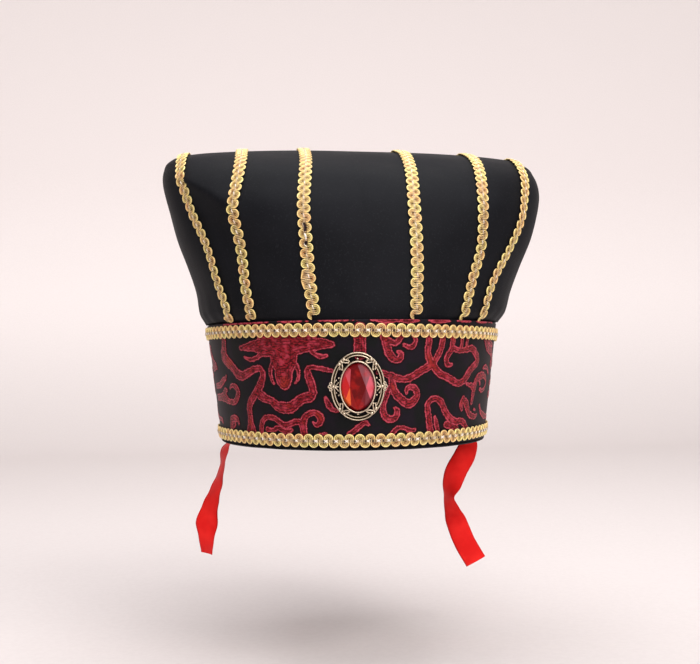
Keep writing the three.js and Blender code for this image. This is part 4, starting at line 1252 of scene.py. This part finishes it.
class Finish:
    """A new material: its node tree and its Principled shader."""

    def __init__(self, name, **sockets):
        self.material = bpy.data.materials.new(name)
        self.material.use_nodes = True
        self.tree = self.material.node_tree
        self.shader = self.tree.nodes["Principled BSDF"]
        for key, value in sockets.items():
            self.shader.inputs[key.replace("_", " ")].default_value = value

    def node(self, kind, inputs=None, **settings):
        """Adds a node; inputs are numbers, colours or other nodes' outputs."""
        made = self.tree.nodes.new(kind)
        for key, value in settings.items():
            setattr(made, key, value)
        for key, value in (inputs or {}).items():
            self.link(value, made.inputs[key])
        return made

    def link(self, value, socket):
        """Gives a socket another node's output, or sets its own value."""
        if isinstance(value, bpy.types.NodeSocket):
            self.tree.links.new(value, socket)
        else:
            socket.default_value = value

    def attribute(self, name):
        """A number that the mesh holds for each point or face."""
        return self.node("ShaderNodeAttribute", attribute_name=name).outputs["Fac"]

    def math(self, operation, a, b=0.0):
        """One sum, product or other operation of two numbers."""
        return self.node("ShaderNodeMath", {0: a, 1: b}, operation=operation).outputs[0]

    def mix(self, share, a, b):
        """Colour a where share is 0 and colour b where it is 1."""
        made = self.node("ShaderNodeMix", data_type="RGBA")
        self.link(share, made.inputs["Factor"])
        self.link(a, made.inputs[6])
        self.link(b, made.inputs[7])
        return made.outputs[2]

    def between(self, value, low, high, to_low=0.0, to_high=1.0):
        """A smooth step from to_low, where value is low, to to_high, where it is high."""
        keys = {"Value": value, "From Min": low, "From Max": high}
        keys.update({"To Min": to_low, "To Max": to_high})
        return self.node("ShaderNodeMapRange", keys, interpolation_type="SMOOTHSTEP").outputs[0]

    def place(self, source, scale=(1, 1, 1), turn=0.0):
        """Object or UV coordinates, scaled and turned about the up axis."""
        coordinates = self.node("ShaderNodeTexCoord").outputs[source]
        keys = {"Vector": coordinates, "Scale": scale, "Rotation": (0, 0, turn)}
        return self.node("ShaderNodeMapping", keys).outputs[0]

    def noise(self, place, scale, detail=3.0):
        """Soft random blotches, scale of them in a metre."""
        keys = {"Vector": place, "Scale": scale, "Detail": detail}
        return self.node("ShaderNodeTexNoise", keys).outputs["Fac"]

    def stripes(self, place, scale, distortion=0.0, direction="X"):
        """Parallel waves that change along one axis, made uneven by distortion."""
        keys = {"Vector": place, "Scale": scale, "Distortion": distortion, "Detail": 1.0}
        return self.node("ShaderNodeTexWave", keys, bands_direction=direction).outputs["Fac"]

    def bump(self, height, depth, strength=1.0, below=None):
        """Bumps the surface by height times depth metres, on top of another bump if given."""
        keys = {"Height": height, "Distance": depth, "Strength": strength}
        if below is not None:
            keys["Normal"] = below
        return self.node("ShaderNodeBump", keys).outputs[0]

    def finish(self, **sockets):
        """Links outputs to the shader's sockets and hands back the material."""
        for key, value in sockets.items():
            self.link(value, self.shader.inputs[key.replace("_", " ")])
        return self.material


print("material helpers ready")

# %% [markdown]
# ### Black satin
# Satin is dull black from most sides and grey where its floats catch the light along the top. A
# fine diagonal twill gives the weave. Broad faint noise varies the roughness, as pressed satin
# varies, and fine specks stand for the floats that catch the light.

# %% Black satin
TWILL_PITCH = 0.0006
TWILL_TURN = math.radians(38)
DEEP_BLACK = (0.0050, 0.0052, 0.0068, 1)
RUBBED_BLACK = (0.0078, 0.0080, 0.0102, 1)
# Painted glints: the fine paler specks where the satin's floats catch the light.
FLOAT_GLINT_GREY = (0.0115, 0.0120, 0.0145, 1)


def black_satin():
    """Near black with paler specks painted as glints, a twill bump over soft crumples, and uneven
    roughness.
    """
    satin = Finish("black_satin", Specular_IOR_Level=0.06)
    place = satin.place("Object")
    cloth = satin.place("UV", turn=TWILL_TURN)
    twill = satin.stripes(cloth, WAVE_LENGTH / TWILL_PITCH, 0.6)
    broad = satin.noise(place, 28.0, 4.0)
    fine = satin.noise(place, 900.0, 2.0)
    colour = satin.mix(satin.between(broad, 0.3, 0.7), DEEP_BLACK, RUBBED_BLACK)
    # Painted glints: paler grey specks over the black.
    glint_specks = satin.mix(satin.between(fine, 0.55, 0.75), colour, FLOAT_GLINT_GREY)
    roughness = satin.between(broad, 0.25, 0.75, 0.53, 0.63)
    crumple = satin.bump(satin.noise(place, 45.0, 3.0), 0.0009, 0.35)
    weave = satin.bump(twill, 0.00005, 0.35, crumple)
    return satin.finish(Base_Color=glint_specks, Roughness=roughness, Normal=weave)


satin = black_satin()
print("made", satin.name)

# %% [markdown]
# ### Brocade
# The band's own attribute says how deep each place lies in the silk. Below zero is the black ground,
# painted darker and redder beside the silk as its shade. Just inside the edge the silk is painted pink
# in dots, as a highlight on its raised edge, and further in the floats lie loose and crimson. Rows of
# stitches follow the outline at set depths and show as darker lines, which in the broad wing makes the
# layered look. Short weft threads cross everything.

# %% Brocade
WEFT_PITCH = 0.00055
# Depths inside the silk, in millimetres, where rows of stitches make darker lines.
STITCH_LINES = (1.15, 2.7, 4.3)
EDGE_LINE = 0.42
DEEP_RED = (0.045, 0.0022, 0.0040, 1)
CRIMSON = (0.310, 0.013, 0.022, 1)
ROSE = (0.500, 0.045, 0.075, 1)
BRICK = (0.360, 0.028, 0.016, 1)
STITCH_RED = (0.040, 0.0022, 0.005, 1)
# Painted highlight: the pink along the silk's raised edge.
EDGE_HIGHLIGHT_PINK = (0.620, 0.088, 0.130, 1)
GROUND_BLACK = (0.0048, 0.0052, 0.0054, 1)
GROUND_VIOLET = (0.0080, 0.0048, 0.0090, 1)
# Painted shade: the darker red of the ground beside the silk.
GROUND_SHADE_RED = (0.0060, 0.0020, 0.0026, 1)


def brocade():
    """Silk inside its outline and black ground outside it. The silk is crimson in streaks, rose and
    brick in patches, dark along the stitch lines and painted pink along its edge as a highlight. The
    ground beside the silk is painted darker and redder as its shade."""
    cloth = Finish("red_brocade", Sheen_Weight=0.02, Sheen_Roughness=0.4, Specular_IOR_Level=0.09)
    cloth.shader.inputs["Sheen Tint"].default_value = (1.0, 0.6, 0.6, 1)
    silk = cloth.attribute("silk")
    place = cloth.place("UV")
    fray = cloth.math("MULTIPLY", cloth.math("SUBTRACT", cloth.noise(place, 1400.0, 2.0), 0.5), 0.8)
    depth = cloth.math("ADD", silk, fray)
    inside = cloth.between(depth, -0.15, 0.2)
    weft = cloth.stripes(cloth.place("UV", (0.16, 1, 1)), WAVE_LENGTH / WEFT_PITCH, 2.2, "Y")
    streak = cloth.noise(cloth.place("UV", (0.35, 1, 1)), 1300.0, 3.0)
    patch = cloth.noise(place, 85.0, 3.0)
    body = cloth.mix(cloth.between(streak, 0.40, 0.60), DEEP_RED, CRIMSON)
    rosy = cloth.between(cloth.noise(place, 260.0, 2.0), 0.46, 0.68, 0, 0.75)
    pink = cloth.mix(rosy, body, ROSE)
    warm = cloth.mix(cloth.between(patch, 0.56, 0.72, 0, 0.7), pink, BRICK)
    lines = 0.0
    for line in STITCH_LINES:
        off = cloth.math("ABSOLUTE", cloth.math("SUBTRACT", depth, line))
        lines = cloth.math("MAXIMUM", lines, cloth.between(off, 0.45, 0.1))
    off_edge = cloth.math("ABSOLUTE", cloth.math("SUBTRACT", depth, EDGE_LINE))
    edge = cloth.between(off_edge, EDGE_LINE, 0.1)
    stitched = cloth.mix(cloth.math("MULTIPLY", lines, 0.62), warm, STITCH_RED)
    # Painted highlight: pink dots along the silk's edge.
    highlight_dots = cloth.between(cloth.noise(place, 1500.0, 1.0), 0.40, 0.62, 0.15, 0.95)
    threads = cloth.mix(cloth.math("MULTIPLY", edge, highlight_dots), stitched, EDGE_HIGHLIGHT_PINK)
    ground = cloth.mix(cloth.between(patch, 0.4, 0.6), GROUND_BLACK, GROUND_VIOLET)
    # Painted shade on the ground next to the silk's edge.
    shadow = cloth.mix(cloth.between(depth, -1.6, -0.3, 0, 0.7), ground, GROUND_SHADE_RED)
    colour = cloth.mix(inside, shadow, threads)
    relief = cloth.math("SUBTRACT", cloth.math("ADD", weft, streak), cloth.math("MULTIPLY", lines, 0.8))
    height = cloth.math("MULTIPLY", relief, cloth.math("ADD", cloth.math("MULTIPLY", inside, 0.8), 0.3))
    return cloth.finish(
        Base_Color=colour,
        Roughness=cloth.between(inside, 0, 1, 0.55, 0.42),
        Normal=cloth.bump(height, 0.0002, 0.8),
    )


brocade_cloth = brocade()
print("made", brocade_cloth.name)

# %% [markdown]
# ### Gold gimp and silver thread
# Gimp cord is cotton wound with gilded foil, so it shines like metal but softly. The attribute rim is
# near one on a turn's outermost cord, which is painted brighter as a highlight, and zero inside the
# turn, where the gold is painted deeper as shade. It is two on the silvery middle threads, and below
# zero where the cords have parted, which are painted dark as shade. Tone differs from turn to turn on
# the cords; on the middle threads it is a painted highlight at every other crossing. Core is one along
# the middle, where the gold is painted pale as a highlight, and gap is high in the openings between the
# turns, which are painted dark as shade.

# %% Gold braid
# Two golds for the inside of a turn, painted darker as shade, and two for its rim, painted brighter as
# a highlight; tone chooses between each pair.
SHADED_INNER_GOLDS = ((0.36, 0.25, 0.055, 1), (0.42, 0.17, 0.055, 1))
LIT_RIM_GOLDS = ((1.0, 0.83, 0.30, 1), (1.0, 0.64, 0.25, 1))
PALE_GOLD = (1.0, 0.88, 0.52, 1)
WORN_GOLD = (0.50, 0.29, 0.15, 1)
CORE_HIGHLIGHT_GOLD = (0.92, 0.72, 0.50, 1)
SLIT_SHADE = (0.030, 0.008, 0.012, 1)
GAP_SHADE = (0.040, 0.014, 0.010, 1)
SILVER_SHADE_AND_HIGHLIGHT = ((0.52, 0.36, 0.20, 1), (1.0, 0.94, 0.88, 1))


def gold_gimp():
    """Gold painted from shade inside each turn to a highlight on its rim, pale and worn in patches,
    with a painted highlight along the middle, painted shade in the slits and openings, and silver on
    the middle threads.
    """
    gimp = Finish("gold_gimp", Specular_IOR_Level=0.6)
    rim = gimp.attribute("rim")
    tone = gimp.attribute("tone")
    place = gimp.place("Object")
    fine = gimp.noise(place, 2200.0, 2.0)
    broad = gimp.noise(place, 60.0, 3.0)
    core = gimp.attribute("core")
    gap = gimp.attribute("gap")
    inner = gimp.mix(tone, *SHADED_INNER_GOLDS)
    outer = gimp.mix(tone, *LIT_RIM_GOLDS)
    # Painted shade inside each turn and a painted highlight on its rim.
    gold = gimp.mix(gimp.between(rim, 0.15, 0.95), inner, outer)
    pale = gimp.mix(gimp.between(fine, 0.52, 0.72), gold, PALE_GOLD)
    worn = gimp.mix(gimp.between(broad, 0.5, 0.8, 0, 0.45), pale, WORN_GOLD)
    # Painted highlight: the gold along the braid's middle is paler.
    core_highlit = gimp.mix(gimp.between(core, 0.35, 0.95, 0, 0.45), worn, CORE_HIGHLIGHT_GOLD)
    # Painted shade: the parted cords in the slits are near black.
    slit_shaded = gimp.mix(gimp.between(rim, -0.6, -1.2), core_highlit, SLIT_SHADE)
    # Silver painted from shade between the crossings to a highlight at them.
    silver = gimp.mix(gimp.between(tone, 0.45, 0.85), *SILVER_SHADE_AND_HIGHLIGHT)
    threads = gimp.mix(gimp.between(rim, 1.2, 1.8), slit_shaded, silver)
    # Painted shade in the openings between the turns.
    colour = gimp.mix(gimp.between(gap, 0.25, 0.8), threads, GAP_SHADE)
    return gimp.finish(
        Base_Color=colour,
        Metallic=gimp.between(fine, 0.2, 0.8, 0.30, 0.60),
        Roughness=gimp.between(broad, 0.3, 0.7, 0.30, 0.42),
        Normal=gimp.bump(fine, 0.0002, 0.6),
    )


gimp = gold_gimp()
print("made", gimp.name)

# %% [markdown]
# ### The brooch's metal and stone
# The metal is a pale antique gold, dark in its recesses, as patina and as painted shade, and pale where
# it stands up, as rubbing and as a painted highlight. The stone is red glass with foil behind: a clear
# hard coat over painted reds that stand for the light the foil sends back. A colour ramp turns each
# facet's code into its painted red, deep on the table, orange at the lower left, and a dusky pink at
# the right.

# %% Antique gold and red glass
RECESS_PATINA_AND_SHADE = (0.045, 0.034, 0.014, 1)
RUBBED_AND_LIT_GOLD = (0.64, 0.53, 0.40, 1)


def antique_gold():
    """Dark where worn plus some tarnish is low, as patina and painted shade, and pale gold where it is
    high, as rubbing and a painted highlight.
    """
    metal = Finish("antique_gold", Metallic=1.0)
    worn = metal.attribute("worn")
    place = metal.place("Object")
    tarnish = metal.noise(place, 500.0, 4.0)
    rubbed_and_lit = metal.between(metal.math("ADD", worn, metal.math("MULTIPLY", tarnish, 0.6)), 0.65, 1.15)
    # Painted shade and highlight as well as patina: dark low down, pale high up.
    colour = metal.mix(rubbed_and_lit, RECESS_PATINA_AND_SHADE, RUBBED_AND_LIT_GOLD)
    return metal.finish(
        Base_Color=colour,
        Roughness=metal.between(rubbed_and_lit, 0, 1, 0.55, 0.26),
        Normal=metal.bump(tarnish, 0.00012, 0.5),
    )


# Painted reflection: the red each facet sends back from the foil, by facet code: the table, then round
# from the left by the top to the right.
FACET_REFLECTION_REDS = [
    (0.00, (0.120, 0.0008, 0.0014)), (0.05, (0.120, 0.0008, 0.0014)), (0.10, (0.520, 0.015, 0.018)),
    (0.193, (0.620, 0.080, 0.105)), (0.222, (0.600, 0.070, 0.090)), (0.254, (0.140, 0.0020, 0.0040)),
    (0.325, (0.180, 0.0040, 0.0060)), (0.396, (0.230, 0.070, 0.085)), (0.457, (0.300, 0.100, 0.120)),
    (0.55, (0.640, 0.110, 0.150)), (0.643, (0.180, 0.028, 0.038)), (0.704, (0.150, 0.010, 0.015)),
    (0.775, (0.260, 0.0040, 0.0060)), (0.846, (0.240, 0.0040, 0.0050)), (0.906, (0.820, 0.130, 0.030)),
    (1.00, (0.520, 0.015, 0.018)),
]
CLOUD_RED = (0.560, 0.012, 0.008, 1)


def red_glass():
    """Each facet's painted reflection of red from the ramp, clouded a little, under a clear coat."""
    glass = Finish("red_glass", Coat_Weight=0.12, Coat_Roughness=0.03, Metallic=0.35)
    glass.shader.inputs["Specular IOR Level"].default_value = 0.15
    facet = glass.attribute("facet")
    ramp = glass.node("ShaderNodeValToRGB", {"Fac": facet})
    bands = ramp.color_ramp.elements
    for code, _ in FACET_REFLECTION_REDS[1:-1]:
        bands.new(code)
    for band_stop, (code, red) in zip(bands, FACET_REFLECTION_REDS):
        band_stop.position = code
        band_stop.color = (*red, 1)
    cloud = glass.noise(glass.place("Object"), 190.0, 2.0)
    clouded = glass.between(cloud, 0.45, 0.8, 0, 0.5)
    colour = glass.mix(clouded, ramp.outputs["Color"], CLOUD_RED)
    return glass.finish(Base_Color=colour, Roughness=glass.between(cloud, 0.3, 0.7, 0.10, 0.18))


gilt = antique_gold()
glass = red_glass()
print("made", gilt.name, glass.name)

# %% [markdown]
# ### Red ribbon
# The ribbon is bright red satin with a fine cross weave and a slightly darker woven edge.

# %% Red ribbon
# Distances from the ribbon's middle, in metres, where its woven edge begins and is full.
SELVEDGE = (0.0064, 0.0069)
RIBBON_RED = (0.70, 0.013, 0.012, 1)
RIBBON_LIGHT = (0.86, 0.024, 0.020, 1)
SELVEDGE_RED = (0.40, 0.006, 0.006, 1)


def red_ribbon():
    """Bright red, uneven over broad patches, darker on the selvedge, with weave and soft folds."""
    cloth = Finish("red_ribbon", Specular_IOR_Level=0.04)
    place = cloth.place("UV")
    broad = cloth.noise(place, 60.0, 3.0)
    weave = cloth.stripes(place, 700.0, 0.5, "Y")
    parts = cloth.node("ShaderNodeSeparateXYZ", {0: place})
    edge = cloth.between(cloth.math("ABSOLUTE", parts.outputs[0]), *SELVEDGE)
    patch = cloth.between(broad, 0.3, 0.7)
    body = cloth.mix(patch, RIBBON_RED, RIBBON_LIGHT)
    colour = cloth.mix(cloth.math("MULTIPLY", edge, 0.5), body, SELVEDGE_RED)
    folds = cloth.bump(cloth.noise(cloth.place("UV", (0.4, 1, 1)), 120.0, 2.0), 0.0006, 0.4)
    return cloth.finish(
        Base_Color=colour,
        Roughness=cloth.between(broad, 0.3, 0.7, 0.34, 0.44),
        Normal=cloth.bump(weave, 0.00005, 0.3, folds),
    )


ribbon_satin = red_ribbon()
print("made", ribbon_satin.name)

# %% [markdown]
# ## Dress the frame
# Each finished piece takes its material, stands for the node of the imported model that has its
# place, and rides on the hat's one body.

# %% Put the pieces on the frame
# Columns: piece, the node it stands for, its slot, its material.
DRESSED = [
    (crown, "crown", "black_satin", satin),
    (band, "brocade_band", "red_brocade", brocade_cloth),
    (binding, "rim_binding", "black_satin", satin),
    (lower_braid, "lower_braid", "gold_braid", gimp),
    (upper_braid, "upper_braid", "gold_braid", gimp),
    (setting, "brooch_setting", "antique_gold", gilt),
    (stone, "brooch_stone", "red_stone", glass),
    (ribbon_left, "ribbon_left", "red_ribbon", ribbon_satin),
    (ribbon_right, "ribbon_right", "red_ribbon", ribbon_satin),
    *((trim, name, "gold_braid", gimp) for name, trim in trims.items()),
]
for piece, node, slot, material in DRESSED:
    piece.data.materials.append(material)
    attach(piece, "root")
    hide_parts(node)
print(len(DRESSED), "pieces dressed")

# %% [markdown]
# ## The studio
# A plain pale floor curves up into a backdrop, so that no horizon shows. A very broad sun lights
# both, and four soft lamps stand above, at both sides and low in front. The strongest is above,
# because the satin is black and only the light along its top shows its form.

# %% Floor and backdrop
FLOOR_HEIGHT = -135.0
FLOOR_HALF = 4000.0
BACKDROP_DISTANCE = 1400.0
BACKDROP_RADIUS = 700.0
BACKDROP_STEPS = 24
# The height in metres where the paper has its wall tone, and two papers for each tone. The floor's are
# painted darker, to offset the floor's stronger light.
WALL_TONE = 0.25
WALL_PAPERS = ((0.79, 0.722, 0.709, 1), (0.81, 0.742, 0.729, 1))
DIMMED_FLOOR_PAPERS = ((0.66, 0.604, 0.593, 1), (0.68, 0.624, 0.613, 1))


def backdrop():
    """A flat floor, a quarter circle and a wall, as one profile swept from left to right."""
    turn = np.linspace(0, math.pi / 2, BACKDROP_STEPS)
    curve_y = BACKDROP_DISTANCE + BACKDROP_RADIUS * np.sin(turn)
    curve_z = FLOOR_HEIGHT + BACKDROP_RADIUS * (1 - np.cos(turn))
    y = np.concatenate([[-FLOOR_HALF], curve_y, [curve_y[-1]]])
    z = np.concatenate([[FLOOR_HEIGHT], curve_z, [FLOOR_HALF]])
    x = np.array([-FLOOR_HALF, FLOOR_HALF])
    points = place_points(x[None], y[:, None], z[:, None]).reshape(-1, 3)
    return mesh_piece("backdrop", points, grid_faces(len(y), 2, wrap_columns=False))


def backdrop_paper():
    """Pale matt paper with a faint grain, painted slightly darker on the floor than on the wall to
    offset the floor's stronger light.
    """
    paper = Finish("backdrop_paper", Roughness=0.9)
    place = paper.place("Object")
    grain = paper.noise(place, 300.0, 2.0)
    height = paper.node("ShaderNodeSeparateXYZ", {0: place}).outputs[2]
    fibre = paper.between(grain, 0.3, 0.7)
    wall = paper.mix(fibre, *WALL_PAPERS)
    ground = paper.mix(fibre, *DIMMED_FLOOR_PAPERS)
    # Painted shade: the floor's paper is darker, to offset the stronger light on it.
    rise = paper.between(height, FLOOR_HEIGHT * MM, WALL_TONE)
    return paper.finish(Base_Color=paper.mix(rise, ground, wall))


floor = backdrop()
floor.data.materials.append(backdrop_paper())
print("floor at", FLOOR_HEIGHT, "mm")

# %% Lights
AIM = (0.0, 0.0, 0.07)
# Columns: name, place in metres, size in metres, power in watts, colour.
LIGHTS = [
    ("key", (0.70, -1.00, 1.25), 0.6, 7, (1.0, 0.98, 0.95)),
    ("fill", (-1.10, -0.90, -0.02), 0.6, 2.1, (1.0, 0.98, 0.97)),
    ("low", (0.85, -1.05, -0.10), 0.5, 2.0, (1.0, 0.98, 0.97)),
    ("top", (0.0, 0.0, 1.25), 1.1, 13, (0.97, 0.98, 1.0)),
]
SKY_PLACE = (0.6, -1.80, 1.35)
SKY_STRENGTH = 1.95
SKY_SPREAD = math.radians(70)
ROOM_COLOUR = (0.93, 0.88, 0.87, 1)
ROOM_STRENGTH = 0.40


def hang_lamp(data, place, target):
    """Puts a light at a place and turns it to look at a target."""
    lamp = bpy.data.objects.new(data.name, data)
    lamp.location = place
    lamp.rotation_euler = (Vector(target) - Vector(place)).to_track_quat("-Z", "Y").to_euler()
    bpy.context.collection.objects.link(lamp)


for name, place, size, power, colour in LIGHTS:
    softbox = bpy.data.lights.new(name, "AREA")
    softbox.size = size
    softbox.energy = power
    softbox.color = colour
    hang_lamp(softbox, place, AIM)

# A very broad sun lights the floor and the backdrop alike and casts no hard edge.
sky = bpy.data.lights.new("sky", "SUN")
sky.energy = SKY_STRENGTH
sky.angle = SKY_SPREAD
hang_lamp(sky, SKY_PLACE, (0, 0, 0))

world = bpy.data.worlds.new("studio")
world.use_nodes = True
background = world.node_tree.nodes["Background"]
background.inputs["Color"].default_value = ROOM_COLOUR
background.inputs["Strength"].default_value = ROOM_STRENGTH
bpy.context.scene.world = world
bpy.context.scene.view_settings.view_transform = "Standard"
print(len(LIGHTS) + 1, "lights")

# %% [markdown]
# ## The camera
# The camera stands where the photograph was taken: about seven tenths of a metre away, a little
# to the left and a little above the brooch. From so near, the ovals of the band's two edges bend
# apart, so the distance matters as much as the lens.

# %% The camera
# Millimetres and angles that lay the hat over the photograph's frame.
LENS = 52.97
SENSOR = 36.0
DISTANCE = 697.0
EYE_HEIGHT = 53.0
AZIMUTH = math.radians(5.0)
PITCH_UP = math.radians(1.53)
TURN_ASIDE = math.radians(0.073)
ROLL = math.radians(0.6)


def photo_camera():
    """At a distance and azimuth from the hat's middle, tilted up a little and rolled."""
    data = bpy.data.cameras.new("camera")
    data.lens = LENS
    data.sensor_width = SENSOR
    made = bpy.data.objects.new("camera", data)
    x = -DISTANCE * MM * math.sin(AZIMUTH)
    y = -DISTANCE * MM * math.cos(AZIMUTH)
    place = Matrix.Translation((x, y, EYE_HEIGHT * MM))
    heading = Matrix.Rotation(TURN_ASIDE - AZIMUTH, 4, "Z")
    tilt = Matrix.Rotation(math.pi / 2 + PITCH_UP, 4, "X")
    made.matrix_world = place @ heading @ tilt @ Matrix.Rotation(-ROLL, 4, "Z")
    bpy.context.collection.objects.link(made)
    return made


bpy.context.scene.camera = photo_camera()
print("camera set")
